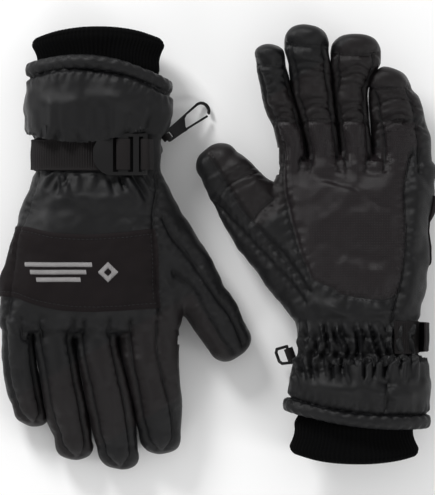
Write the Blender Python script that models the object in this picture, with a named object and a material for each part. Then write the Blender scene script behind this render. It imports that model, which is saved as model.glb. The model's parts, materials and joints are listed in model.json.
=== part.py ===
"""A pair of insulated work gloves, lying flat: the right one back up, the left one palm up.

Each glove is drawn in its own frame, in millimetres: x runs from the thumb side (negative) to the
little-finger side, y from the cuff to the fingertips with 0 at the wrist strap, and z is the height
above the surface it lies on. place() turns that frame into the pair's frame.
"""

import math
from collections import namedtuple

import bmesh
import bpy
from mathutils import Vector

MM = 0.001

# Layers of the glove, from the outside in
SHELL = 1.6  # outer fabric of the hand and the gauntlet
ELASTIC_IN, ELASTIC_OUT = 1.95, 2.85  # gathering elastic between shell and liner
LINER_OUT, LINER_IN = 3.2, 5.6  # padded liner of the hand
FINGER_SHELL = 1.5
FINGER_LINER_OUT, FINGER_LINER_IN = 1.8, 3.9
GAP = 0.3  # between pieces that touch
FAR = 130.0  # beyond the panels' ends in every direction
BORE_TAPER = ((5, -20), (-0.5, 8))  # the bores' extra inset and distance from the knuckle

# Patches and webbing that lie on the shell: how far their two faces stand off it
PATCH_LOW, PATCH_HIGH = 0.35, 1.35
STRAP_LOW, STRAP_HIGH = 0.35, 1.75
TAIL_LOW, TAIL_HIGH = 2.1, 3.5
STRAP_HALF = 11.4  # half the webbing's width
ELASTIC_HALF = 9.0

# Spans round the hand, as section indexes: see section()
BAND_SPAN, GRIP_SPAN, ELASTIC_SPAN = range(1, 10), range(15, 22), range(13, 22)
STRAP_SPAN = range(-4, 8)

# Knuckle hinges: half of each range is cut from the hand and half from the finger
FLEX, EXTEND = math.radians(60), math.radians(10)
HINGE_DEPTH = 0.45  # hinge height below the finger's middle, as a share of half its thickness
KNUCKLE_REACH, KNUCKLE_FAR = 45.0, 40.0  # height and length of the knuckle cutters

LONG_FINGERS = ("index", "middle", "ring", "pinky")
BODY_SIDES, FINGER_SIDES = 24, 12
BODY_MARKS = (-44, -34, -25, -13, 13, 22, 36, 52, 70, 89, 108)
FINGER_MARKS = (0.0, 0.3, 0.65, 1.0)  # rings, as shares of the length before the round tip
TIP_ANGLES = (0.6, 1.05, 1.35)
SECTION_POWER = 2.6  # 2 is an ellipse, more is squarer
FINGER_POWER = 2.2
SIDE_ROOM = 0.55  # taken off each side of a finger, which clears its neighbours as it bends
MOUND_RINGS = 4
MOUND_SHORT = 3.5  # how much sooner the thumb mound's cavity ends
END_WALL = 9.0  # between the hand's cavity and the finger holes' mouths
LINER_WALL = 5.0  # how much thicker the liner is there
OVERCUT = 6.0  # how far a cutter runs out past the face it opens
THUMB_ROOM = 3.0  # width of the thumb's knuckle cutter beyond the thumb
PATH_STEPS = 24  # along a finger's curve
WRIST = 13.0  # half the length of the straight wrist, where the strap lies
WRIST_SEAM = 14.0  # y of the seam between gauntlet and hand
LINER_START = -28.0
HEM_TOP, HEM_END = -52.5, -60.5  # at mid-width; see rim_y
RIM_BOW, RIM_SLOPE = 9.0, -0.11
HEM_BULGE = 2.2  # how far the rolled hem stands out beyond the gauntlet
HEM_CORNER = 0.3  # the same at the roll's two rounded ends
HEM_ROUND = 2.5  # length of each rounded end
GAUNTLET_START = -44.0  # of the gauntlet's straight part, above its bowed rim
KNIT_WALL = 3.2
KNIT_RIM = (-68.0, -76.0, -80.0)  # y of the knit cuff's bowed rings
KNIT_CORNER = 0.5  # inset of the last of them

Station = namedtuple("Station", "y radial ulnar low high")
Point = namedtuple("Point", "x y z width thick")
PathRow = namedtuple("PathRow", "at x y z width thick")
Glove = namedtuple(
    "Glove", "side origin turn dorsal seam crotch body knit band grip fingers thenar"
)

RIGHT = Glove(
    side="right",
    origin=(-83.72, 64.33),
    turn=-1,  # fingers towards -Y
    dorsal=1,  # back of the hand up
    seam=25.0,
    crotch=124.0,
    body=(
        Station(-70, -50, 49, 0, 53),
        Station(-60, -50, 49, 0, 54),
        Station(-42, -51, 50, 0, 56),
        Station(-25, -49, 50, 0.5, 54),
        Station(-WRIST, -43.5, 43.5, 4, 47),
        Station(WRIST, -43.5, 43.5, 4, 47),
        Station(30, -49, 49, 2, 50),
        Station(52, -53, 56, 1.7, 51),
        Station(78, -55, 61.5, 1.7, 50),
        Station(102, -55.5, 64.5, 3, 47),
        Station(125, -57, 68, 8, 42),
    ),
    knit=(
        Station(-81, -40, 43, 5, 45),
        Station(-76, -42, 45, 3, 47),
        Station(-62, -39, 42, 5, 46),
        Station(-28.6, -39, 41, 9, 44),
    ),
    band=(52.0, 108.0),
    grip=(24.0, 118.0),
    fingers={
        "index": (
            Point(-34.1, 124, 25, 42.1, 29),
            Point(-37, 150, 26, 36.5, 28),
            Point(-41.3, 178, 20, 31.4, 26),
            Point(-44, 208, 12.5, 25, 23),
        ),
        "middle": (
            Point(2.9, 124, 25, 29.2, 29),
            Point(-2.5, 150, 27, 30.2, 28),
            Point(-8.6, 179, 22, 30.6, 26),
            Point(-15.4, 219, 12, 25, 22),
        ),
        "ring": (
            Point(32.2, 124, 25, 27.6, 28),
            Point(27.8, 150, 26, 27.8, 27),
            Point(22.6, 179, 20, 28.2, 25),
            Point(14.5, 212, 11.5, 22, 21),
        ),
        "pinky": (
            Point(56.2, 124, 24.5, 18.8, 25),
            Point(54.9, 148, 23, 23.6, 24),
            Point(50.8, 170, 17, 22.4, 22),
            Point(45, 188, 11, 17, 19),
        ),
        "thumb": (
            Point(-76.5, 105, 19, 32.5, 29),
            Point(-86, 121, 17, 31, 27),
            Point(-97.5, 140, 13, 24, 23),
        ),
    },
    thenar=(
        Point(-28, 29, 24, 32, 28),
        Point(-50, 63, 22, 38, 31),
        Point(-77.5, 106.7, 19, 35.5, 32),
    ),
)

LEFT = Glove(
    side="left",
    origin=(97.28, -63.67),
    turn=1,  # fingers towards +Y
    dorsal=-1,  # palm up
    seam=22.0,
    crotch=124.0,
    body=(
        Station(-70, -50, 50, 0, 53),
        Station(-58, -50, 50, 0, 54),
        Station(-42, -49, 50, 0, 55),
        Station(-25, -45, 49.5, 2, 53),
        Station(-WRIST, -41, 42, 9, 49),
        Station(WRIST, -41, 42, 9, 49),
        Station(30, -47, 46, 3, 49),
        Station(52, -46.5, 48.5, 1.8, 47),
        Station(78, -46.5, 49.5, 1.7, 45),
        Station(102, -49, 50, 1.8, 41),
        Station(125, -55.5, 54.5, 3, 37),
    ),
    knit=(
        Station(-81, -39, 44, 6, 45),
        Station(-76, -41, 46, 4, 47),
        Station(-62, -38, 42, 6, 46),
        Station(-28.6, -38, 39, 10, 44),
    ),
    band=(52.0, 108.0),
    grip=(44.0, 118.0),
    fingers={
        "index": (
            Point(-42.9, 124, 19, 18.6, 26),
            Point(-48.4, 150, 23, 18.2, 26),
            Point(-57.9, 178, 31, 21.4, 25),
            Point(-61.2, 202, 43, 16.5, 22),
        ),
        "middle": (
            Point(-22, 124, 19, 21.9, 27),
            Point(-26.2, 150, 23, 24.6, 27),
            Point(-31.7, 178, 32, 28.6, 26),
            Point(-36.3, 216, 49, 29, 23),
        ),
        "ring": (
            Point(0.6, 124, 19, 22, 27),
            Point(-2.5, 150, 23, 21.4, 27),
            Point(-5, 178, 31, 24, 26),
            Point(-5.5, 209.5, 47, 27, 23),
        ),
        "pinky": (
            Point(31.9, 124, 19, 38.6, 27),
            Point(29.6, 148, 22, 39.6, 27),
            Point(24, 168, 30, 31, 25),
            Point(18.6, 186, 40, 19, 21),
        ),
        "thumb": (
            Point(-74, 90, 20, 43, 29),
            Point(-86, 107, 22, 37, 28),
            Point(-104.5, 131, 25, 24, 24),
        ),
    },
    thenar=(
        Point(-27, 27, 27, 30, 26),
        Point(-48, 56, 23, 42, 30),
        Point(-75, 91.5, 20, 46, 32),
    ),
)

MATERIALS = {  # colour, roughness, metallic
    "black_fabric": ((0.017, 0.017, 0.019), 0.78, 0),
    "panel_fabric": ((0.012, 0.010, 0.010), 0.7, 0),
    "grip_leather": ((0.026, 0.022, 0.023), 0.55, 0),
    "knit": ((0.004, 0.004, 0.004), 0.95, 0),
    "fleece": ((0.03, 0.03, 0.032), 0.95, 0),
    "webbing": ((0.022, 0.018, 0.018), 0.7, 0),
    "black_plastic": ((0.014, 0.013, 0.014), 0.4, 0),
    "elastic": ((0.02, 0.02, 0.02), 0.8, 0),
}


def place(glove, point):
    x, y, z = point
    ox, oy = glove.origin
    return Vector((ox + glove.turn * x, oy + glove.turn * y, z)) * MM


def material(name):
    made = bpy.data.materials.get(name)
    if made:
        return made
    colour, roughness, metallic = MATERIALS[name]
    made = bpy.data.materials.new(name)
    made.use_nodes = True
    shader = made.node_tree.nodes["Principled BSDF"]
    shader.inputs["Base Color"].default_value = (*colour, 1)
    shader.inputs["Roughness"].default_value = roughness
    shader.inputs["Metallic"].default_value = metallic
    made.diffuse_color = (*colour, 1)
    return made


def make_object(glove, name, mesh, finish):
    obj = bpy.data.objects.new(f"{glove.side}_{name}", mesh)
    bpy.context.scene.collection.objects.link(obj)
    if finish:
        mesh.materials.append(material(finish))
        mesh.shade_smooth()
        mesh.set_sharp_from_angle(angle=math.radians(40))
    else:
        obj.hide_render = True
        obj.display_type = "WIRE"
    return obj


def solid(glove, name, build, finish=None, pivot=(0, 0, 0)):
    """An object from build(bm), which adds points in the glove's frame; a cutter has no finish."""
    bm = bmesh.new()
    build(bm)
    origin = place(glove, pivot)
    for vertex in bm.verts:
        vertex.co = place(glove, vertex.co) - origin
    bmesh.ops.triangulate(bm, faces=bm.faces)
    bmesh.ops.recalc_face_normals(bm, faces=bm.faces)
    mesh = bpy.data.meshes.new(name)
    bm.to_mesh(mesh)
    bm.free()
    obj = make_object(glove, name, mesh, finish)
    obj.location = origin
    return obj


def combine(obj, operation, *cutters):
    """Booleans. MANIFOLD, as EXACT leaves the fabric standing inside the left glove's finger bores."""
    for cutter in cutters:
        modifier = obj.modifiers.new(operation.lower(), "BOOLEAN")
        modifier.operation = operation
        modifier.object = cutter
        modifier.solver = "MANIFOLD"


# Lofts


def add_ring(bm, ring):
    return [bm.verts.new(p) for p in ring]


def bridge(bm, one, other):
    n = len(one)
    for i in range(n):
        j = (i + 1) % n
        bm.faces.new((one[i], one[j], other[j], other[i]))


def loft(rings):
    """build() for a solid through rings, with a flat face over each end."""

    def build(bm):
        loops = [add_ring(bm, ring) for ring in rings]
        for one, other in zip(loops, loops[1:]):
            bridge(bm, one, other)
        bm.faces.new(loops[0])
        bm.faces.new(loops[-1])

    return build


def hollow(outer, inner, closed_tip):
    """build() for a tube between outer and inner rings, open at its first ring."""

    def build(bm):
        ends = []
        for rings in (outer, inner):
            loops = [add_ring(bm, ring) for ring in rings]
            for one, other in zip(loops, loops[1:]):
                bridge(bm, one, other)
            if closed_tip:
                bm.faces.new(loops[-1])
            ends.append(loops)
        bridge(bm, ends[0][0], ends[1][0])
        if not closed_tip:
            bridge(bm, ends[0][-1], ends[1][-1])

    return build


def superellipse(n, power):
    """n points (across, up) whose flat sides touch the unit square."""
    reach = math.cos(math.pi / n) ** (2 / power)
    points = []
    for k in range(n):
        angle = 2 * math.pi * (k + 0.5) / n
        c, s = math.cos(angle), math.sin(angle)
        across = math.copysign(abs(c) ** (2 / power), c) / reach
        up = math.copysign(abs(s) ** (2 / power), s) / reach
        points.append((across, up))
    return points


def blend_rows(rows, position, key):
    """A row between the given ones, on a smooth curve through them."""
    where = [getattr(row, key) for row in rows]
    i = max(0, min(len(rows) - 2, sum(position >= w for w in where) - 1))
    span = where[i + 1] - where[i]
    t = (position - where[i]) / span

    def slope(k, field):
        a, b = max(0, k - 1), min(len(rows) - 1, k + 1)
        return (rows[b][field] - rows[a][field]) / (where[b] - where[a]) * span

    values = []
    for field in range(len(rows[0])):
        start, end = rows[i][field], rows[i + 1][field]
        s0, s1 = slope(i, field), slope(i + 1, field)
        if (end - start) * s0 <= 0:
            s0 = 0
        if (end - start) * s1 <= 0:
            s1 = 0
        h = t * t * (3 - 2 * t)
        values.append(
            start + (end - start) * h + s0 * t * (1 - t) ** 2 - s1 * t * t * (1 - t)
        )
    return type(rows[0])(*values)


# The hand and the gauntlet


def section(glove, station, inset):
    """A ring round the hand. Point k is at angle (k + 1/2) from the little-finger side, over the back."""
    across = (station.ulnar - station.radial) / 2 - inset
    up = (station.high - station.low) / 2 - inset
    x0, z0 = (station.ulnar + station.radial) / 2, (station.high + station.low) / 2
    return [
        Vector((x0 + across * a, station.y, z0 + glove.dorsal * up * b))
        for a, b in superellipse(BODY_SIDES, SECTION_POWER)
    ]


def body_rings(glove, ys, inset):
    return [section(glove, blend_rows(glove.body, y, "y"), inset) for y in ys]


def body_marks(first, last):
    """The y of every section of a layer of the hand that runs from first to last."""
    return [first, *[y for y in BODY_MARKS if first + 1 < y < last - 1], last]


def rim(glove, ring, y):
    """The ring moved to a cuff's edge, which is longer in the middle of both sides than at the seams."""
    middle = (max(p.z for p in ring) + min(p.z for p in ring)) / 2
    reach = max(p.z for p in ring) - middle
    return [
        Vector((p.x, y - RIM_BOW * abs(p.z - middle) / reach + RIM_SLOPE * p.x, p.z))
        for p in ring
    ]


def half_space(glove, name, side):
    """A cutter box over all of the glove on one side of its side seam: side is 1 above, -1 below."""
    low, high = sorted((glove.seam + side * GAP / 2, glove.seam + side * FAR))
    ring = [(-FAR, -FAR), (FAR, -FAR), (FAR, FAR), (-FAR, FAR)]
    rings = [[(x, y, z) for x, y in ring] for z in (low, high)]
    return solid(glove, name, loft(rings))


# Fingers


def smooth_path(points, count):
    """Points along a smooth curve through a finger's own points, and the curve's length."""
    rows, at = [], 0
    for i, p in enumerate(points):
        if i:
            at += math.dist(p[:3], points[i - 1][:3])
        rows.append(PathRow(at, *p))
    made = [blend_rows(rows, at * k / count, "at") for k in range(count + 1)]
    path = [Point(*row[1:]) for row in made]
    return path, sum(math.dist(p[:3], q[:3]) for p, q in zip(path, path[1:]))


def ring_across(path, share, inset, shrink=1.0):
    """A finger-shaped ring across a path, at a share of its length."""
    i = min(len(path) - 2, int(share * (len(path) - 1)))
    t = share * (len(path) - 1) - i
    p = Point(*[a + (b - a) * t for a, b in zip(path[i], path[i + 1])])
    before, after = path[max(0, i - 1)], path[min(len(path) - 1, i + 2)]
    return oval(p, Vector(after[:3]) - Vector(before[:3]), inset, shrink)


def oval(point, heading, inset, shrink=1.0):
    side = heading.cross(Vector((0, 0, 1))).normalized()
    up = side.cross(heading).normalized()
    wide = (point.width / 2 - SIDE_ROOM - inset) * shrink
    thick = (point.thick / 2 - inset) * shrink
    return [
        Vector(point[:3]) + side * wide * a + up * thick * b
        for a, b in superellipse(FINGER_SIDES, FINGER_POWER)
    ]


def finger_rings(points, inset):
    """Rings along a finger, the last few closing to its round tip."""
    path, length = smooth_path(points, PATH_STEPS)
    radius = points[-1].thick / 2
    straight = 1 - radius / length
    rings = [ring_across(path, mark * straight, inset) for mark in FINGER_MARKS]
    for angle in TIP_ANGLES:
        share = straight + (radius - inset) / length * math.sin(angle)
        rings.append(ring_across(path, share, inset, math.cos(angle)))
    return rings


def hinge_of(glove, name):
    """(point, axis, direction) of a knuckle's hinge: positive turns bend the finger to the palm."""
    base, following = glove.fingers[name][:2]
    lower = glove.dorsal * base.thick / 2 * HINGE_DEPTH
    point = Vector((base.x, base.y, base.z - lower))
    if name == "thumb":
        along = Vector((following.x - base.x, following.y - base.y, 0)).normalized()
    else:
        along = Vector((0, 1, 0))
    axis = along.cross(Vector((0, 0, -glove.dorsal)))
    return point, axis, along


def wedge_gap(glove, height):
    """Room left on each side of a hinge, at a height above it."""
    back = glove.dorsal * height
    return GAP / 2 + max(back * math.tan(EXTEND / 2), -back * math.tan(FLEX / 2))


def fit_base(glove, name, ring):
    """The finger's first ring moved on to the V-shaped face that its hinge needs."""
    point, _, along = hinge_of(glove, name)
    made = []
    for p in ring:
        away = (p - point).dot(along)
        made.append(p + along * (wedge_gap(glove, p.z - point.z) - away))
    return made


def knuckle_cutter(glove, name, width):
    """A cutter that takes the V-shaped room, and all beyond it, off the hand."""
    point, _, along = hinge_of(glove, name)
    side = Vector((along.y, -along.x, 0))
    top, bottom = glove.dorsal * KNUCKLE_REACH, -glove.dorsal * KNUCKLE_REACH
    profile = [
        (-wedge_gap(glove, 0), 0),
        (-wedge_gap(glove, top), top),
        (KNUCKLE_FAR, top),
        (KNUCKLE_FAR, bottom),
        (-wedge_gap(glove, bottom), bottom),
    ]
    rings = [
        [point + side * s + along * a + Vector((0, 0, z)) for a, z in profile]
        for s in (-width / 2, width / 2)
    ]
    return solid(glove, f"cut_{name}_knuckle", loft(rings))


def bore_ring(glove, name, inset, reach):
    """A ring of a finger's bore in the hand's end wall, at a distance from the knuckle."""
    base, following = glove.fingers[name][:2]
    heading = (Vector(following[:3]) - Vector(base[:3])).normalized()
    middle = Vector(base[:3]) + heading * reach
    return oval(Point(*middle, base.width, base.thick), heading, inset)


def bore_cutter(glove, name, inset, tag):
    rings = [bore_ring(glove, name, inset + pinch, reach) for pinch, reach in BORE_TAPER]
    return solid(glove, f"cut_{name}_{tag}", loft(rings))


def thenar_rings(glove, inset, shorten):
    """Rings of the thumb's mound, which joins the hand to the thumb's knuckle."""
    path, length = smooth_path(glove.thenar, PATH_STEPS)
    last = 1 - shorten / length
    return [ring_across(path, last * i / MOUND_RINGS, inset) for i in range(MOUND_RINGS + 1)]


def hand_cutters(glove, inset, finger_inset, start, wall, tag):
    """The cutters that hollow a layer of the hand: its cavity, the thumb's mound and the five bores."""
    ys = body_marks(start, glove.crotch - wall)
    cavity = solid(glove, f"cut_cavity_{tag}", loft(body_rings(glove, ys, inset)))
    rings = thenar_rings(glove, inset, wall + MOUND_SHORT)
    pinch = (inset - SHELL) * 0.6
    rings += [bore_ring(glove, "thumb", finger_inset + pinch, reach) for reach in (2 - wall, 8)]
    mound = solid(glove, f"cut_mound_{tag}", loft(rings))
    bores = [bore_cutter(glove, name, finger_inset, tag) for name in LONG_FINGERS]
    return [cavity, mound, *bores]


def hand_layer(glove, name, ends, inset, shorten, cutters, finish):
    """The hand between two ends, with the thumb's mound, less some cutters."""
    ys = body_marks(*ends)
    hand = solid(glove, name, loft(body_rings(glove, ys, inset)), finish)
    mound = solid(glove, f"{name}_mound", loft(thenar_rings(glove, inset, shorten)))
    combine(hand, "UNION", mound)
    combine(hand, "DIFFERENCE", *cutters)
    return hand


def build_hand(glove):
    """The hand's back and palm panels, split at the side seam, and the padded liner in them."""
    knuckles = [
        knuckle_cutter(glove, "middle", 2 * FAR),
        knuckle_cutter(glove, "thumb", glove.fingers["thumb"][0].width + THUMB_ROOM),
    ]
    cutters = hand_cutters(
        glove, SHELL, FINGER_SHELL, WRIST_SEAM - OVERCUT, END_WALL, "shell"
    )
    ends = WRIST_SEAM + GAP / 2, glove.body[-1].y
    for name, side in (("back_panel", glove.dorsal), ("palm_panel", -glove.dorsal)):
        panel = hand_layer(glove, name, ends, 0, 0, [*cutters, *knuckles], "black_fabric")
        combine(panel, "INTERSECT", half_space(glove, f"cut_{name}", side))
    cutters = hand_cutters(
        glove, LINER_IN, FINGER_LINER_IN, LINER_START - OVERCUT, END_WALL + LINER_WALL, "liner"
    )
    ends = LINER_START, glove.crotch - END_WALL - GAP
    shorten = END_WALL + MOUND_SHORT + GAP
    hand_layer(glove, "hand_liner", ends, LINER_OUT, shorten, cutters, "fleece")


def finger_tube(glove, name, layer, insets, finish):
    walls = [finger_rings(glove.fingers[name], inset) for inset in insets]
    for rings in walls:
        rings[0] = fit_base(glove, name, rings[0])
    pivot = hinge_of(glove, name)[0]
    solid(glove, f"{name}_{layer}", hollow(*walls, True), finish, pivot)


def build_fingers(glove):
    for name in glove.fingers:
        outside = "panel_fabric" if name == "thumb" else "black_fabric"
        finger_tube(glove, name, "shell", (0, FINGER_SHELL), outside)
        finger_tube(glove, name, "liner", (FINGER_LINER_OUT, FINGER_LINER_IN), "fleece")


def build_gauntlet(glove):
    """The gauntlet's two panels and the rolled hem that closes their bowed rim."""
    edge = blend_rows(glove.body, (HEM_TOP + HEM_END) / 2, "y")
    ys = body_marks(GAUNTLET_START, WRIST_SEAM - GAP / 2)
    walls = []
    for inset in (0, SHELL):
        first = rim(glove, section(glove, edge, inset), HEM_TOP)
        walls.append([first, *body_rings(glove, ys, inset)])
    for name, side in (("gauntlet_back", glove.dorsal), ("gauntlet_palm", -glove.dorsal)):
        gauntlet = solid(glove, name, hollow(*walls, False), "black_fabric")
        combine(gauntlet, "INTERSECT", half_space(glove, f"cut_{name}", side))

    ys = (HEM_TOP - GAP, HEM_TOP - GAP - HEM_ROUND, HEM_END + HEM_ROUND, HEM_END)
    bulges = (HEM_CORNER, HEM_BULGE, HEM_BULGE, HEM_CORNER)
    inner = [rim(glove, section(glove, edge, SHELL), y) for y in ys]
    outer = []
    for y, bulge in zip(ys, bulges):
        ring = rim(glove, section(glove, edge, -bulge), y)
        outer.append([Vector((p.x, p.y, max(p.z, 0))) for p in ring])
    solid(glove, "hem_binding", hollow(outer, inner, False), "black_fabric")


def build_knit(glove):
    """The knit cuff: straight inside the gauntlet, then flared to its bowed rim."""
    rim_station, flare, neck, start = glove.knit
    walls = []
    for inset in (0, KNIT_WALL):
        rings = [section(glove, station, inset) for station in (start, neck)]
        stations = (flare, flare, rim_station)
        insets = (inset, inset, inset + KNIT_CORNER)
        for station, ring_inset, y in zip(stations, insets, KNIT_RIM):
            rings.append(rim(glove, section(glove, station, ring_inset), y))
        walls.append(rings)
    solid(glove, "knit_cuff", hollow(*walls, False), "knit")


# Patches, webbing and elastic that follow the shell


def wrap(glove, name, angles, ys, low, high, finish):
    """A layer over part of the hand: angles are indexes round the section, low and high its stand-off."""

    def build(bm):
        grid = {}
        for layer, stand_off in enumerate((low, high)):
            for i, y in enumerate(ys):
                ring = section(glove, blend_rows(glove.body, y, "y"), -stand_off)
                for j, k in enumerate(angles):
                    grid[layer, i, j] = bm.verts.new(ring[k % BODY_SIDES])
        add_slab(bm, grid, len(ys), len(angles))

    return solid(glove, name, build, finish)


def add_slab(bm, grid, rows, columns):
    """Faces of a closed slab between two layers of a grid of points."""
    for i in range(rows - 1):
        for j in range(columns - 1):
            for layer in (0, 1):
                corners = ((i, j), (i + 1, j), (i + 1, j + 1), (i, j + 1))
                bm.faces.new([grid[layer, a, b] for a, b in corners])
    edge = [(i, 0) for i in range(rows)]
    edge += [(rows - 1, j) for j in range(1, columns)]
    edge += [(i, columns - 1) for i in range(rows - 2, -1, -1)]
    edge += [(0, j) for j in range(columns - 2, 0, -1)]
    for one, other in zip(edge, edge[1:] + edge[:1]):
        bm.faces.new((grid[0, *one], grid[0, *other], grid[1, *other], grid[1, *one]))


def build_patches(glove):
    """The knuckle band, the palm's grip and the elastic sewn inside the wrist."""
    stand_off = PATCH_LOW, PATCH_HIGH
    band, grip = body_marks(*glove.band), body_marks(*glove.grip)
    wrap(glove, "knuckle_band", BAND_SPAN, band, *stand_off, "panel_fabric")
    wrap(glove, "palm_grip", GRIP_SPAN, grip, *stand_off, "grip_leather")
    ys = (-ELASTIC_HALF, ELASTIC_HALF)
    wrap(glove, "wrist_elastic", ELASTIC_SPAN, ys, -ELASTIC_OUT, -ELASTIC_IN, "elastic")


def build_strap(glove):
    ys = (-STRAP_HALF, STRAP_HALF)
    wrap(glove, "wrist_strap", STRAP_SPAN, ys, STRAP_LOW, STRAP_HIGH, "webbing")
    build_tail(glove)
    build_buckle(glove)


def strap_line(glove, x, stand_off):
    """Height of the wrist's back at x, with a stand-off."""
    ring = section(glove, blend_rows(glove.body, 0, "y"), -stand_off)
    back = sorted(ring[: BODY_SIDES // 2], key=lambda p: p.x)
    for p, q in zip(back, back[1:]):
        if p.x <= x <= q.x:
            return p.z + (q.z - p.z) * (x - p.x) / (q.x - p.x)
    return back[0].z if x < back[0].x else back[-1].z


# The free end's course, as section indexes and extra stand-offs: flat, then bowed away
TAIL_LINE = ((6, 0), (5, 0), (4, 0), (3, 0), (2, 0), (1, 0.5), (0, 2.2), (-1, 6.0), (-2, 7.5))
WEBBING_TRIM = 0.4  # how much narrower than the strap its free end is, on each side


def build_tail(glove):
    """The strap's free end, on top of the strap from under the buckle's tab to beyond the edge."""
    station = blend_rows(glove.body, 0, "y")
    profile = []
    for k, extra in TAIL_LINE:
        low = section(glove, station, -TAIL_LOW - extra)
        high = section(glove, station, -TAIL_HIGH - extra)
        profile.append((low[k % BODY_SIDES], high[k % BODY_SIDES]))
    half = STRAP_HALF - WEBBING_TRIM

    def build(bm):
        grid = {}
        for j, pair in enumerate(profile):
            for layer, p in enumerate(pair):
                for i, y in enumerate((-half, half)):
                    grid[layer, i, j] = bm.verts.new((p.x, y, p.z))
        add_slab(bm, grid, 2, len(profile))

    solid(glove, "strap_tail", build, "webbing", (profile[0][0].x, 0, profile[0][0].z))


BUCKLE_TIP, BUCKLE_END = 3.5, -34.6
BUCKLE_HALF, BUCKLE_THICK = 14.8, 2.6
BUCKLE_TAB = -10.5  # where the rounded tab meets the ladder
BUCKLE_SLOTS = ((-14.2, -10.5), (-24.6, -21.2), (-31.4, -28.6))
HINGE_BAR = (BUCKLE_END + BUCKLE_SLOTS[2][0]) / 2
RAIL = 2.6  # width of the buckle's two side bars
BUCKLE_LIFT = 4.1  # of the buckle's underside over the wrist's shell
BUCKLE_BOW = 0.0045  # fall per square millimetre from the bow's middle
BUCKLE_MIDDLE = -2.0
TAB_MARKS = (-7, -3, 0, 2)  # steps of the rounded tab's outline
TAB_BLUNT = 0.93  # 1 would bring the tab to a point
TURN_WALL = 1.0
LOOP_TRIM = 0.6  # how much narrower than the strap the turn and the anchor are, on each side


def buckle_height(glove, x):
    """Height of the buckle's middle: a gentle bow that follows the wrist."""
    wrist = blend_rows(glove.body, 0, "y")
    top = wrist.high if glove.dorsal > 0 else wrist.low
    fall = BUCKLE_BOW * (x - BUCKLE_MIDDLE) ** 2
    return top + glove.dorsal * (BUCKLE_LIFT + BUCKLE_THICK / 2 - fall)


def buckle_outline(x):
    """Half of the buckle's width at x."""
    if x <= BUCKLE_TAB:
        return BUCKLE_HALF
    share = (x - BUCKLE_TAB) / (BUCKLE_TIP - BUCKLE_TAB)
    return BUCKLE_HALF * math.sqrt(1 - share * share * TAB_BLUNT)


def build_buckle(glove):
    """The ladder buckle: a grid of marks along it and lanes across it, with the slots left out."""
    marks = {BUCKLE_END, BUCKLE_TIP, *TAB_MARKS}
    for slot in BUCKLE_SLOTS:
        marks.update(slot)
    marks = sorted(marks)
    lanes = (-1, -1 + RAIL / BUCKLE_HALF, 1 - RAIL / BUCKLE_HALF, 1)

    def build(bm):
        points = {}

        def vertex(i, j, layer):
            key = (i, j, layer)
            if key not in points:
                x = marks[i]
                lift = (layer - 0.5) * BUCKLE_THICK
                z = buckle_height(glove, x) + glove.dorsal * lift
                points[key] = bm.verts.new((x, lanes[j] * buckle_outline(x), z))
            return points[key]

        def is_solid(i, j):
            if not (0 <= i < len(marks) - 1 and 0 <= j < len(lanes) - 1):
                return False
            middle = (marks[i] + marks[i + 1]) / 2
            return j != 1 or not any(a < middle < b for a, b in BUCKLE_SLOTS)

        for i in range(len(marks) - 1):
            for j in range(len(lanes) - 1):
                if not is_solid(i, j):
                    continue
                square = ((i, j), (i + 1, j), (i + 1, j + 1), (i, j + 1))
                for layer in (0, 1):
                    bm.faces.new([vertex(a, b, layer) for a, b in square])
                around = ((i, j - 1), (i + 1, j), (i, j + 1), (i - 1, j))
                for k, neighbour in enumerate(around):
                    if not is_solid(*neighbour):
                        (a, b), (c, d) = square[k], square[(k + 1) % 4]
                        bm.faces.new([vertex(a, b, 0), vertex(c, d, 0),
                                      vertex(c, d, 1), vertex(a, b, 1)])

    solid(glove, "buckle", build, "black_plastic", buckle_pivot(glove))
    build_turn(glove)
    build_anchor(glove)


def buckle_pivot(glove):
    return HINGE_BAR, 0, buckle_height(glove, HINGE_BAR)


def plate(glove, name, profile, half, finish, pivot=(0, 0, 0)):
    """A profile of (x, z) points, extruded along y to half on each side of the strap's middle."""
    rings = [[(x, y, z) for x, z in profile] for y in (-half, half)]
    return solid(glove, name, loft(rings), finish, pivot)


def build_turn(glove):
    """The webbing's turn over the buckle's middle bar, which moves with the buckle."""
    first, last = BUCKLE_SLOTS[1][1], BUCKLE_SLOTS[0][0]
    inner, outer = GAP, GAP + TURN_WALL
    half_thick = BUCKLE_THICK / 2

    def at(x, rise):
        return x, buckle_height(glove, x) + glove.dorsal * rise

    shoulder = outer * 0.6  # height of the turn's outer corners over the bar's face
    profile = [
        at(first - outer, -half_thick),
        at(first - outer, half_thick + shoulder),
        at(first, half_thick + outer),
        at(last, half_thick + outer),
        at(last + outer, half_thick + shoulder),
        at(last + outer, -half_thick),
        at(last + inner, -half_thick),
        at(last + inner, half_thick + inner),
        at(first - inner, half_thick + inner),
        at(first - inner, -half_thick),
    ]
    plate(glove, "strap_turn", profile, STRAP_HALF - LOOP_TRIM, "webbing", buckle_pivot(glove))


ANCHOR_WALL = 0.9
ANCHOR_BORE = 2.5  # clears the hinge bar's corners all the way round
ANCHOR_END = -38.6
ANCHOR_FOOT = 2.2  # length of the foot that is sewn to the shell


def build_anchor(glove):
    """The short webbing that holds the buckle: a loop round its end bar, sewn down at the side seam."""
    height = buckle_pivot(glove)[2]

    def arc(radius):
        made = arc_points(HINGE_BAR, 0, radius, -60, 180, 9)
        return [(x, height + glove.dorsal * rise) for x, rise in made]

    inner = ANCHOR_END + ANCHOR_FOOT
    tail = [
        (ANCHOR_END, strap_line(glove, ANCHOR_END, STRAP_HIGH)),
        (ANCHOR_END, strap_line(glove, ANCHOR_END, STRAP_LOW)),
        (inner, strap_line(glove, inner, STRAP_LOW)),
    ]
    profile = arc(ANCHOR_BORE + ANCHOR_WALL) + tail + arc(ANCHOR_BORE)[::-1]
    plate(glove, "buckle_anchor", profile, STRAP_HALF - LOOP_TRIM, "webbing")


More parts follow.
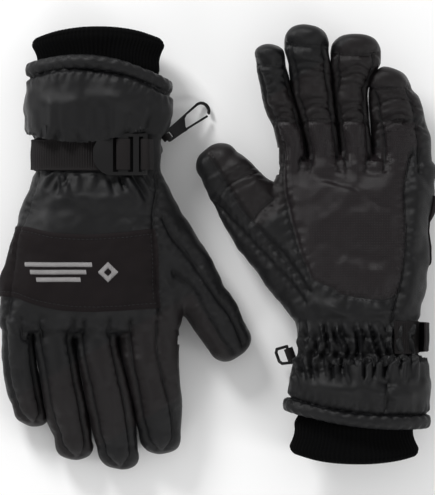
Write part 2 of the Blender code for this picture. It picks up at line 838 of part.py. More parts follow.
# The clip on the right glove and the ring on the left one


def local_frame(origin, heading, tilt):
    """Maps (along, across, out) to the glove's frame: heading is in the x, y plane and tilt is downwards."""
    flat = Vector((math.cos(heading), math.sin(heading), 0))
    along = flat * math.cos(tilt) - Vector((0, 0, math.sin(tilt)))
    across = Vector((-flat.y, flat.x, 0))
    out = along.cross(across)
    return lambda u, v, w: Vector(origin) + along * u + across * v + out * w


CLIP_ORIGIN, RING_ORIGIN = (-48.2, -12.5, 21.0), (-47.0, -12.0, 21.0)
CLIP_HEADING, CLIP_TILT = math.radians(218), math.radians(27.5)
RING_HEADING, RING_TILT = math.radians(200), math.radians(50)
CLIP_THICK = 2.2
LOOP_BORE, LOOP_WALL, LOOP_TAIL = 1.85, 0.9, 3.7
CLIP_LOOP_HALF, RING_LOOP_HALF = 2.0, 4.5


def flat_outline(frame, thickness, outline, holes):
    """build() for a plate with holes, from loops of (along, across) points of equal count per side."""

    def build(bm):
        layers = []
        for w in (-thickness / 2, thickness / 2):
            loops = [[bm.verts.new(frame(u, v, w)) for u, v in loop]
                     for loop in (outline, *holes)]
            edges = []
            for loop in loops:
                for a, b in zip(loop, loop[1:] + loop[:1]):
                    edges.append(bm.edges.new((a, b)))
            bmesh.ops.triangle_fill(bm, edges=edges, use_beauty=True)
            layers.append(loops)
        for low, high in zip(*layers):
            bridge(bm, low, high)

    return build


def arc_points(cx, cy, radius, start, end, count):
    angles = [math.radians(start + (end - start) * i / (count - 1)) for i in range(count)]
    return [(cx + radius * math.cos(a), cy + radius * math.sin(a)) for a in angles]


CLIP_LENGTH, CLIP_END_RADIUS, CLIP_NECK, CLIP_RIM = 41.0, 6.3, 4.0, 1.9
GATE_FOOT, GATE_WALL = 16.0, 1.5
GATE_LINE = ((16.5, -3.9), (35.2, -5.6))  # the gate's middle, from its foot to its free end


def clip_shapes():
    """Outline and eye of the clip, whose lower side is left open for its gate."""
    end = CLIP_LENGTH - CLIP_END_RADIUS
    inside = CLIP_END_RADIUS - CLIP_RIM
    outline = [(-1.2, -CLIP_NECK + 0.8), (-0.4, -CLIP_NECK), (13.0, -4.6)]
    outline += [(GATE_FOOT, -5.0), (GATE_FOOT, -2.2), (19.5, 2.6), (22.5, 3.9)]
    outline += arc_points(end, 0, inside, 90, -60, 6)
    outline += arc_points(end, 0, CLIP_END_RADIUS, -66, 90, 7)
    outline += [(12.0, 4.6), (-0.4, CLIP_NECK), (-1.2, CLIP_NECK - 0.8)]
    eye = [(1.2, -2.4), (4.2, -2.0), (4.2, 2.0), (1.2, 2.4)]
    return outline, [eye]


def build_clip(glove):
    frame = local_frame(CLIP_ORIGIN, CLIP_HEADING, CLIP_TILT)
    outline, holes = clip_shapes()
    build = flat_outline(frame, CLIP_THICK, outline, holes)
    solid(glove, "clip_hook", build, "black_plastic", CLIP_ORIGIN)
    (u0, v0), (u1, v1) = GATE_LINE
    half = GATE_WALL / 2
    outline = [(u0, v0 - half), (u1, v1 - half), (u1, v1 + half), (u0, v0 + half)]
    build = flat_outline(frame, CLIP_THICK * 0.8, outline, [])
    solid(glove, "clip_gate", build, "black_plastic", frame(u0, v0, 0))
    build_loop(glove, CLIP_ORIGIN, CLIP_HEADING, CLIP_LOOP_HALF)


def build_loop(glove, origin, heading, half):
    """The webbing loop that holds the clip or the ring, sewn in the side seam."""
    frame = local_frame(origin, heading, 0)
    outline = arc_points(0, 0, LOOP_BORE + LOOP_WALL, -150, 150, 11)
    outline += [(-LOOP_TAIL, LOOP_WALL), (-LOOP_TAIL, -LOOP_WALL)]
    bore = arc_points(0, 0, LOOP_BORE, 0, 330, 12)

    def upright(u, v, w):
        return frame(u, w, v)

    build = flat_outline(upright, 2 * half, outline, [bore])
    solid(glove, "clip_loop", build, "webbing")


RING_WIRE, WIRE_SIDES = 1.15, 8
RING_PATH = ((0, -6.0), (0, 6.0), (11.0, 4.4), (13.2, 2.2), (13.2, -4.2), (11.0, -6.4))


def build_ring(glove):
    """A bent wire ring of five sides, its straight side in the webbing loop."""
    frame = local_frame(RING_ORIGIN, RING_HEADING, RING_TILT)
    count = len(RING_PATH)

    def build(bm):
        loops = []
        for i, (u, v) in enumerate(RING_PATH):
            before, after = RING_PATH[i - 1], RING_PATH[(i + 1) % count]
            one = Vector((u - before[0], v - before[1])).normalized()
            two = Vector((after[0] - u, after[1] - v)).normalized()
            normal = Vector((one.y + two.y, -one.x - two.x)).normalized()
            spread_out = 1 / max(0.5, normal.dot(Vector((one.y, -one.x))))
            ring = []
            for k in range(WIRE_SIDES):
                a = 2 * math.pi * (k + 0.5) / WIRE_SIDES
                out = RING_WIRE * math.cos(a) * spread_out
                rise = RING_WIRE * math.sin(a)
                ring.append(frame(u + normal.x * out, v + normal.y * out, rise))
            loops.append(add_ring(bm, ring))
        for one, two in zip(loops, loops[1:] + loops[:1]):
            bridge(bm, one, two)

    solid(glove, "clip_ring", build, "black_plastic", RING_ORIGIN)
    build_loop(glove, RING_ORIGIN, RING_HEADING, RING_LOOP_HALF)


def build_glove(glove):
    build_hand(glove)
    build_fingers(glove)
    build_gauntlet(glove)
    build_knit(glove)
    build_patches(glove)
    build_strap(glove)


def main():
    for obj in list(bpy.data.objects):
        bpy.data.objects.remove(obj)
    build_glove(RIGHT)
    build_clip(RIGHT)
    build_glove(LEFT)
    build_ring(LEFT)


main()
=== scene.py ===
import json
import math

import bmesh
import bpy
import numpy as np
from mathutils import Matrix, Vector, noise
from mathutils.kdtree import KDTree


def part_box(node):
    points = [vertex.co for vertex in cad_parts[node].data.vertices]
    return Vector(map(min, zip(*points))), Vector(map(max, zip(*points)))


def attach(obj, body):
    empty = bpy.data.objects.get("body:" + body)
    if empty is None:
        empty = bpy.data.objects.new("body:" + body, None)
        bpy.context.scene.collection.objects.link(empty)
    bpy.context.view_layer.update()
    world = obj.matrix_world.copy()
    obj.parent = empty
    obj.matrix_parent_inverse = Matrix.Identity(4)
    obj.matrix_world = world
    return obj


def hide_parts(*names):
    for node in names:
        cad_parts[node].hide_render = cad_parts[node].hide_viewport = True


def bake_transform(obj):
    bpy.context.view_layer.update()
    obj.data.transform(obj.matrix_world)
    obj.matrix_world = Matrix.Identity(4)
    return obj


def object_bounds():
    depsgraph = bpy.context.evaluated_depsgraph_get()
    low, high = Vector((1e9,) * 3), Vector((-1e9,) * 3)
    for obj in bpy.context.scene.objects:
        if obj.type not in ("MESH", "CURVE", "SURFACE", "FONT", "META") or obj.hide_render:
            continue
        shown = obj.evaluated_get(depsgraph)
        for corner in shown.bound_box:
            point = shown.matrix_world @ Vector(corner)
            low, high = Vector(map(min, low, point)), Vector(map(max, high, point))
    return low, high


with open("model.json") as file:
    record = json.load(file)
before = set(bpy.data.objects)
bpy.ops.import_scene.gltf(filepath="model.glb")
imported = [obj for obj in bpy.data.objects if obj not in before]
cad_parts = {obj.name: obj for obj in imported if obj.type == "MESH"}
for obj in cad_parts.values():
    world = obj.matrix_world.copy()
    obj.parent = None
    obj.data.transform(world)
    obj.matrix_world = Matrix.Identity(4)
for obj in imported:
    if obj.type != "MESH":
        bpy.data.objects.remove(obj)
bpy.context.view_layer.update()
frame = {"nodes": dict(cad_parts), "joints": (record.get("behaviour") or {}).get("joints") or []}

# A pair of insulated work gloves. Lengths here are millimetres in each glove's own frame: x runs from the
# thumb's side to the little finger's, y from the cuff to the fingertips with 0 at the middle of the wrist
# strap, and z is the height over the floor. The frame of CAD nodes gives every place and size.
MM = 0.001

LONG_FINGERS = ("index", "middle", "ring", "pinky")
FINGERS = LONG_FINGERS + ("thumb",)
PANELS = ("back_panel", "palm_panel", "gauntlet_back", "gauntlet_palm")
GRID = 1.15  # spacing of the grid that the skin is made on
BODY_POWER = 2.6  # the hand's cross-section, where 2 is an ellipse
FINGER_POWER = 2.2
SKIN_WALL = 1.5
CROTCH_CAP = 10.0  # rounding at the hand's end, between the fingers
WEB = 7.0  # how widely the fingers flow into the hand
CHANNEL = 34.0  # how far each finger's bulge reaches back over the hand
MOUND = 96.0  # the thumb mound's length, from the thumb's joint to the wrist
TIP_SHARE = 0.78  # the fingertip's dome, as a share of the finger's width
BACK, PALM = 1, -1
SLOPE_STEP = 0.4
LIMB_MARKS = (9.0, 12.0, 6)  # a limb's sections: from past its joint to short of its tip, and how many
SPREAD_START, SPREAD_END = 52.0, 66.0  # where a boxy fingertip widens
MIDDLE_WIDTH = 24  # half of the hand's middle strip, where its height is read
FLOOR_LIMIT, TOP_LIMIT = -5.0, 70.0  # keep a dropped point near the glove


# ---------------------------------------------------------------- frame

def node_points(name):
    """World millimetres of a CAD node's vertices, and its edges."""
    mesh = frame["nodes"][name].data
    points = np.empty(len(mesh.vertices) * 3)
    mesh.vertices.foreach_get("co", points)
    edges = np.empty(len(mesh.edges) * 2, dtype=int)
    mesh.edges.foreach_get("vertices", edges)
    world = np.array(frame["nodes"][name].matrix_world)
    points = points.reshape(-1, 3) @ world[:3, :3].T + world[:3, 3]
    return points / MM, edges.reshape(-1, 2)


def box_mm(name):
    low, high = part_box(name)
    return np.array(low) / MM, np.array(high) / MM


def joint(name):
    return next(j for j in frame["joints"] if j["name"] == name)


class Glove:
    """One glove's frame, and its CAD nodes' points in it."""

    def __init__(self, side):
        self.side = side
        strap = sum(box_mm(f"{side}_wrist_strap")) / 2
        wrist = [node_points(f"{side}_{part}") for part in ("back_panel", "gauntlet_back")]
        hit = cut_points(wrist, np.array((0.0, strap[1], 0.0)), np.array((0.0, 1.0, 0.0)))
        middle = np.array(((hit[:, 0].min() + hit[:, 0].max()) / 2, strap[1], strap[2]))
        tip = sum(box_mm(f"{side}_middle_shell")) / 2
        buckle = sum(box_mm(f"{side}_buckle")) / 2
        self.origin = middle[:2]
        self.turn = 1 if tip[1] > middle[1] else -1
        self.back = 1 if buckle[2] > middle[2] else -1

    def node(self, part):
        points, edges = node_points(f"{self.side}_{part}")
        return self.inward(points), edges

    def inward(self, world):
        out = np.array(world, dtype=float)
        out[..., :2] = self.turn * (out[..., :2] - self.origin)
        return out

    def outward(self, points):
        """Metres in the world, from millimetres in the glove's frame."""
        out = np.array(points, dtype=float)
        out[..., :2] = self.turn * out[..., :2] + self.origin
        return out * MM

    def up(self, face):
        """+1 where the back or the palm faces up, -1 where it faces the floor."""
        return face * self.back


def cut_points(parts, start, direction):
    """Where the edges of (points, edges) pairs cross the plane through start, square to direction."""
    crossings = []
    for points, edges in parts:
        height = (points - start) @ direction
        first, second = height[edges[:, 0]], height[edges[:, 1]]
        hit = first * second < 0
        share = (first / np.where(first == second, 1, first - second))[hit][:, None]
        a, b = points[edges[hit, 0]], points[edges[hit, 1]]
        crossings.append(a + (b - a) * share)
    return np.concatenate(crossings)


def curve(at, knots, values):
    """A smooth curve through the knots, held level past both ends."""
    knots, values = np.asarray(knots, float), np.asarray(values, float)
    slopes = np.gradient(values, knots)
    slopes[0] = slopes[-1] = 0
    at = np.clip(at, knots[0], knots[-1])
    i = np.clip(np.searchsorted(knots, at) - 1, 0, len(knots) - 2)
    width = knots[i + 1] - knots[i]
    t = (at - knots[i]) / width
    return ((1 + 2 * t) * (1 - t) ** 2 * values[i] + t * (1 - t) ** 2 * width * slopes[i]
            + t * t * (3 - 2 * t) * values[i + 1] + t * t * (t - 1) * width * slopes[i + 1])


def smooth_step(value, start, end):
    t = np.clip((value - start) / (end - start), 0, 1)
    return t * t * (3 - 2 * t)


def unit(vectors):
    """Rows of vectors, each made 1 long."""
    return vectors / np.maximum(np.linalg.norm(vectors, axis=1, keepdims=True), 1e-9)


def run_lengths(points):
    """How far along a polyline each of its points lies."""
    return np.concatenate(([0], np.cumsum(np.linalg.norm(np.diff(points, axis=0), axis=1))))


def interpolated(at, lengths, values):
    """Rows of values, read at other lengths along their line."""
    return np.column_stack([np.interp(at, lengths, values[:, i]) for i in range(values.shape[1])])


def smooth_min(a, b, width):
    h = np.clip(width - np.abs(a - b), 0, None) / width
    return np.minimum(a, b) - h * h * width / 4


# ---------------------------------------------------------------- the skin's shape

class Limb:
    """A finger or a thumb: centre line and half sizes along its length, read from its CAD shell."""

    def __init__(self, glove, finger):
        self.name = finger
        points, edges = glove.node(f"{finger}_shell")
        hinge = joint(f"{glove.side}_{finger}_flex")
        self.base = glove.inward(np.array(hinge["pos_m"]) / MM)
        axis = np.array(hinge["axis"])
        along = np.array((-axis[1], axis[0], 0.0)) * glove.turn
        if (points.mean(axis=0) - self.base) @ along < 0:
            along = -along
        self.along = along
        self.across = np.array((along[1], -along[0], 0.0))  # towards the little finger
        self.length = ((points - self.base) @ along).max()
        first, short, count = LIMB_MARKS
        marks = np.linspace(first, self.length - short, count)
        rows = []
        for s in marks:
            hit = cut_points([(points, edges)], self.base + s * along, along)
            u = (hit - self.base) @ self.across
            z = hit[:, 2]
            rows.append((s, (u.min() + u.max()) / 2, (z.min() + z.max()) / 2,
                         (u.max() - u.min()) / 2, (z.max() - z.min()) / 2))
        if finger == "thumb":
            wide, thick, mid = rows[0][3], rows[0][4], rows[0][2]
            back = [(-MOUND, 1.5, mid + 5, wide - 2, thick - 3),
                    (-MOUND * 0.5, 0.8, mid + 3, wide + 1.5, thick)]
        else:
            back = [(-CHANNEL, rows[0][1] * 0.9, rows[0][2], rows[0][3], rows[0][4] * 0.72),
                    (-CHANNEL * 0.45, rows[0][1] * 0.97, rows[0][2], rows[0][3], rows[0][4] * 0.96)]
        rows = np.array(back + rows)
        self.marks, self.u, self.z, self.wide, self.thick = rows.T
        if finger != "thumb":
            self.wide = self.wide + SIDE_FILL
        spread = TIP_SPREAD.get((glove.side, finger), 0.0) * smooth_step(self.marks, SPREAD_START, SPREAD_END)
        self.u, self.wide = self.u + spread / 2, self.wide + spread / 2
        self.lean = (self.u[-1] - self.u[-2]) / (self.marks[-1] - self.marks[-2])
        self.rise = (self.z[-1] - self.z[-2]) / (self.marks[-1] - self.marks[-2])
        self.cap = TIP_SHARE * self.wide[-1]
        self.end = self.length - self.cap
        self.start = self.marks[0]

    def section(self, s):
        """Centre across, centre height and half sizes at length s."""
        past = np.clip(s - self.marks[-1], 0, None)
        return (curve(s, self.marks, self.u) + self.lean * past,
                curve(s, self.marks, self.z) + self.rise * past,
                curve(s, self.marks, self.wide), curve(s, self.marks, self.thick))

    def local(self, points):
        offset = points - self.base
        return offset @ self.along, offset @ self.across, points[..., 2]

    def distance(self, points):
        s, u, z = self.local(points)
        u0, z0, wide, thick = self.section(s)
        over = (np.clip(s - self.end, 0, None) / self.cap + np.clip(self.start - s, 0, None) / 10.0)
        du, dz = u - u0, z - z0
        f = (np.abs(du / wide) ** FINGER_POWER + np.abs(dz / thick) ** FINGER_POWER
             + over ** FINGER_POWER) ** (1 / FINGER_POWER)
        reach = np.sqrt(du ** 2 + dz ** 2 + (over * self.cap) ** 2)
        return reach - reach / np.maximum(f, 1e-6)

    def at(self, s, angle):
        """A point of the surface: angle 0 is the side towards the little finger, 90 degrees the top."""
        s, angle = np.broadcast_arrays(np.asarray(s, float), np.asarray(angle, float))
        u0, z0, wide, thick = self.section(s)
        over = np.clip(s - self.end, 0, self.cap * 0.999) / self.cap
        shrink = (1 - over ** FINGER_POWER) ** (1 / FINGER_POWER)
        c, d = np.cos(angle), np.sin(angle)
        f = (np.abs(c / wide) ** FINGER_POWER + np.abs(d / thick) ** FINGER_POWER) ** (-1 / FINGER_POWER)
        point = self.base + s[..., None] * self.along + (u0 + c * f * shrink)[..., None] * self.across
        point[..., 2] = z0 + d * f * shrink
        return point


class Body:
    """The hand and the gauntlet: side edges and lowest and highest line along y, read from the CAD panels."""

    MARKS = (-59, -55, -49, -40, -30, -21, -12, 0, 12, 20, 30, 42, 56, 72, 88, 104, 118)

    def __init__(self, glove, limbs):
        parts = [glove.node(part) for part in (*PANELS, "hem_binding")]
        index = limbs["index"]
        index_edge = index.base[0] + index.u[2] - index.wide[2]
        rows = []
        for y in self.MARKS:
            hit = cut_points(parts, np.array((0.0, y, 0.0)), np.array((0.0, 1.0, 0.0)))
            middle = hit[np.abs(hit[:, 0]) < MIDDLE_WIDTH]
            radial = hit[:, 0].min()
            if y < 13:
                wrist_edge, wrist_y = radial, y
            else:
                t = (y - wrist_y) / (index.base[1] - wrist_y)
                radial = wrist_edge + (index_edge - wrist_edge) * (1 - (1 - t) ** 2.5)
            rows.append((y, radial, hit[:, 0].max(), middle[:, 2].min(), middle[:, 2].max()))
        self.y, self.radial, self.ulnar, self.low, self.high = np.array(rows).T
        self.end = index.base[1] - 8.0

    def edges(self, y):
        return [curve(y, self.y, row) for row in (self.radial, self.ulnar, self.low, self.high)]

    def distance(self, points):
        y = points[..., 1]
        radial, ulnar, low, high = self.edges(y)
        wide, thick = (ulnar - radial) / 2, (high - low) / 2
        dx, dz = points[..., 0] - (ulnar + radial) / 2, points[..., 2] - (high + low) / 2
        over = np.clip(y - self.end, 0, None)
        f = (np.abs(dx / wide) ** BODY_POWER + np.abs(dz / thick) ** BODY_POWER
             + (over / CROTCH_CAP) ** BODY_POWER) ** (1 / BODY_POWER)
        reach = np.sqrt(dx ** 2 + dz ** 2 + over ** 2)
        return reach - reach / np.maximum(f, 1e-6)


class Shape:
    """The glove's smooth outer form, as a distance from its surface."""

    def __init__(self, glove):
        self.glove = glove
        self.limbs = {finger: Limb(glove, finger) for finger in FINGERS}
        self.body = Body(glove, self.limbs)

    def parts(self, points):
        """Distances from the body and from each limb, in FINGERS' order."""
        return self.body.distance(points), np.array([self.limbs[f].distance(points) for f in FINGERS])

    def distance(self, points):
        body, limbs = self.parts(points)
        long = limbs[0]
        for other in limbs[1:4]:
            long = smooth_min(long, other, 1.2)
        return smooth_min(smooth_min(body, long, WEB), limbs[4], WEB + 3)

    def normal(self, points):
        return limb_normals(self, points)

    def settle(self, points, rounds=3):
        """Moves points onto the surface."""
        for _ in range(rounds):
            points = points - self.normal(points) * self.distance(points)[:, None] * 0.9
        return points

    def drop(self, xy, face):
        """Points of the surface straight over or under (x, y), on the back or the palm."""
        xy = np.asarray(xy, float)
        up = self.glove.up(face)
        points = np.column_stack((xy, np.full(len(xy), 25.0 + up * 45.0)))
        for _ in range(60):
            points[:, 2] -= up * self.distance(points) * 0.7
            points[:, 2] = np.clip(points[:, 2], FLOOR_LIMIT, TOP_LIMIT)
        return points


def surface_net(distance, low, high, step):
    """Vertices and quads of the surface where distance is 0, from a grid of the given spacing."""
    axes = [np.arange(low[i], high[i] + step, step) for i in range(3)]
    grid = np.stack(np.meshgrid(*axes, indexing="ij"), axis=-1)
    field = distance(grid.reshape(-1, 3)).reshape(grid.shape[:3])
    inside = field < 0
    shape = np.array(field.shape) - 1
    corners = [(i, j, k) for i in (0, 1) for j in (0, 1) for k in (0, 1)]

    def corner(array, c):
        return array[c[0]:c[0] + shape[0], c[1]:c[1] + shape[1], c[2]:c[2] + shape[2]]

    count_in = sum(corner(inside, c).astype(np.int8) for c in corners)
    cells = np.argwhere((count_in > 0) & (count_in < 8))
    total, hits = np.zeros((len(cells), 3)), np.zeros(len(cells))
    for a in corners:
        for axis in range(3):
            if a[axis]:
                continue
            b = tuple(1 if i == axis else a[i] for i in range(3))
            va, vb = field[tuple((cells + a).T)], field[tuple((cells + b).T)]
            crossed = (va < 0) != (vb < 0)
            share = np.where(crossed, va / np.where(va == vb, 1, va - vb), 0)
            spot = np.array(a, float) + share[:, None] * (np.array(b) - np.array(a))
            total += spot * crossed[:, None]
            hits += crossed
    points = (cells + total / hits[:, None]) * step + np.array([axis[0] for axis in axes])
    index = np.full(shape, -1)
    index[tuple(cells.T)] = np.arange(len(cells))
    quads = []
    for axis in range(3):
        u, v = [i for i in range(3) if i != axis]
        nxt = np.roll(inside, -1, axis)
        crossed = np.argwhere(inside != nxt)
        crossed = crossed[(crossed[:, axis] < shape[axis]) & (crossed[:, u] > 0) & (crossed[:, v] > 0)
                          & (crossed[:, u] < shape[u]) & (crossed[:, v] < shape[v])]
        ring = []
        for du, dv in ((1, 1), (0, 1), (0, 0), (1, 0)):
            cell = crossed.copy()
            cell[:, u] -= du
            cell[:, v] -= dv
            ring.append(index[tuple(cell.T)])
        ring = np.array(ring).T
        flip = inside[tuple(crossed.T)] == (axis == 1)
        ring[flip] = ring[flip][:, ::-1]
        quads.append(ring)
    return points, np.concatenate(quads)


# ---------------------------------------------------------------- seams, folds and puckers

CUT = 9.0  # the fingers' own skins start this far past their joints
BEND = 27.0  # and a length past that, which follow() reads but does not use
SEAM_STEP = 1.2
EDGE_SHARE = 0.74  # a finger's seams lie this far out from its middle
TIP_SEAM = 13.0  # from the fingertip's end to the seam across its palm side
STRAP_ROOM = 12.5  # half the length of wrist that the strap covers
HEM_SEAM = -47.5
HEM_SLOPE = -0.12
HEM_BOW = {"right": 11.5, "left": 5.0}
HEM_DEPTH = 10.0
HEM_TUCK = 1.2  # how far the gauntlet's fabric runs on under the hem
BAND = ((-0.80, 52.0), (-0.35, 54.5), (0.1, 55.8), (0.5, 54.8), (0.97, 50.5))  # the knuckle band's upper edge
BAND_FOOT = ((-0.79, 107.5), (-0.3, 109.0), (0.25, 108.8), (0.6, 105.5), (0.97, 99.5))
GRIP_LEFT = ((-0.66, 41.0), (-0.78, 60.0), (-0.88, 84.0), (-0.93, 99.0), (-0.95, 136.0))
GRIP_FOOT = ((-0.66, 41.0), (-0.38, 35.0), (-0.01, 28.5), (0.33, 26.8), (0.62, 30.5))
GRIP_RIGHT = ((0.62, 30.5), (0.69, 60.0), (0.69, 90.0), (0.66, 113.0), (0.72, 136.0))

# Each fold is (face, start, end, width, height), in the hand's (share, y) places. A negative height is a
# crease.
FOLDS = (
    (BACK, (0.55, 14), (0.42, 30), 3.2, 1.6), (BACK, (0.72, 13), (0.80, 27), 3.6, 1.5),
    (BACK, (0.33, 14), (0.30, 24), 2.6, 1.1), (BACK, (-0.42, 15), (-0.62, 33), 3.0, 1.7),
    (BACK, (-0.62, 14), (-0.78, 28), 2.8, 1.4), (BACK, (-0.2, 15), (-0.25, 26), 2.6, -1.1),
    (BACK, (0.62, 13), (0.58, 27), 2.4, -1.3), (BACK, (-0.52, 14), (-0.69, 30), 2.2, -1.3),
    (BACK, (0.06, 14), (0.1, 23), 2.6, 0.9),
    (BACK, (0.48, 13), (0.5, 22), 1.6, -1.5), (BACK, (0.66, 13), (0.74, 24), 1.8, -1.6),
    (BACK, (-0.34, 13), (-0.4, 24), 1.7, -1.4), (BACK, (-0.7, 13), (-0.78, 25), 1.8, -1.5),
    (BACK, (0.7, -13), (0.6, -21), 1.7, -1.6), (BACK, (0.36, -13), (0.38, -20), 1.6, -1.4),
    (BACK, (0.04, -13), (0.0, -19), 1.6, -1.1), (BACK, (-0.34, -13), (-0.3, -20), 1.6, -1.3),
    (BACK, (0.8, -15), (0.62, -33), 4.0, 1.7), (BACK, (0.45, -14), (0.5, -30), 3.6, 1.3),
    (BACK, (0.15, -14), (0.1, -27), 3.2, 1.1), (BACK, (-0.25, -14), (-0.2, -30), 3.6, 1.4),
    (BACK, (-0.6, -14), (-0.66, -32), 3.8, 1.6), (BACK, (0.63, -14), (0.55, -26), 2.4, -1.2),
    (BACK, (-0.42, -14), (-0.42, -27), 2.6, -1.2), (BACK, (0.3, -13), (0.28, -24), 2.2, -0.9),
    (BACK, (-0.5, -36), (0.1, -40), 5.0, 1.0), (BACK, (0.2, -34), (0.7, -38), 4.6, 1.1),
    (BACK, (-0.75, 40), (-0.3, 44), 5.0, -0.8), (BACK, (0.2, 38), (0.85, 40), 5.5, -0.8),
    (BACK, (-0.1, 33), (0.45, 30), 5.0, 0.9),
    (PALM, (-0.5, 112.7), (0.0, 104), 2.6, -0.6), (PALM, (0.0, 104), (0.38, 90), 2.6, -0.6),
    (PALM, (-0.55, 70), (-0.1, 60), 7.0, -0.9), (PALM, (-0.1, 60), (0.4, 52), 7.0, -0.9),
    (PALM, (0.75, 60), (0.85, 100), 6.0, 1.4), (PALM, (0.78, 20), (0.82, 52), 5.0, 1.3),
    (PALM, (-0.6, 24), (-0.2, 17), 4.0, 1.2), (PALM, (0.2, 20), (0.6, 17), 4.0, 1.1),
    (PALM, (-0.7, -34), (-0.1, -38), 5.0, 1.3), (PALM, (0.0, -36), (0.7, -40), 5.0, 1.3),
)
GATHER_ROWS = (-22.0, -11.0, 0.5)  # the elastic's stitch lines over the palm side of the wrist
GATHER_PITCH = 7.2
GATHER_HEIGHT = 3.4


def hem_line(glove, x):
    """y of the seam that joins the hem to the gauntlet."""
    return HEM_SEAM + HEM_SLOPE * x - HEM_BOW[glove.side] * np.clip(1 - (x / 50.0) ** 2, 0, 1)


def along_path(points, step):
    """Evenly spaced points along a polyline."""
    points = np.asarray(points, float)
    lengths = run_lengths(points)
    count = max(2, int(lengths[-1] / step) + 1)
    return interpolated(np.linspace(0, lengths[-1], count), lengths, points)


def smooth_line(points, count=40):
    """A smooth curve through a few points, in equal steps of its chord."""
    points = np.asarray(points, float)
    knots = run_lengths(points)
    at = np.linspace(0, knots[-1], count)
    made = []
    for i in range(points.shape[1]):
        slopes = np.gradient(points[:, i], knots)
        j = np.clip(np.searchsorted(knots, at) - 1, 0, len(knots) - 2)
        width = knots[j + 1] - knots[j]
        t = (at - knots[j]) / width
        made.append((1 + 2 * t) * (1 - t) ** 2 * points[j, i] + t * (1 - t) ** 2 * width * slopes[j]
                    + t * t * (3 - 2 * t) * points[j + 1, i] + t * t * (t - 1) * width * slopes[j + 1])
    return np.column_stack(made)


class Seam:
    """A line of points on the skin, with the kind of seam that lies there."""

    def __init__(self, name, points, limb=None, piped=False, stitched=0.0, depth=1.0):
        self.name, self.limb, self.piped, self.stitched, self.depth = name, limb, piped, stitched, depth
        self.points = along_path(points, SEAM_STEP)


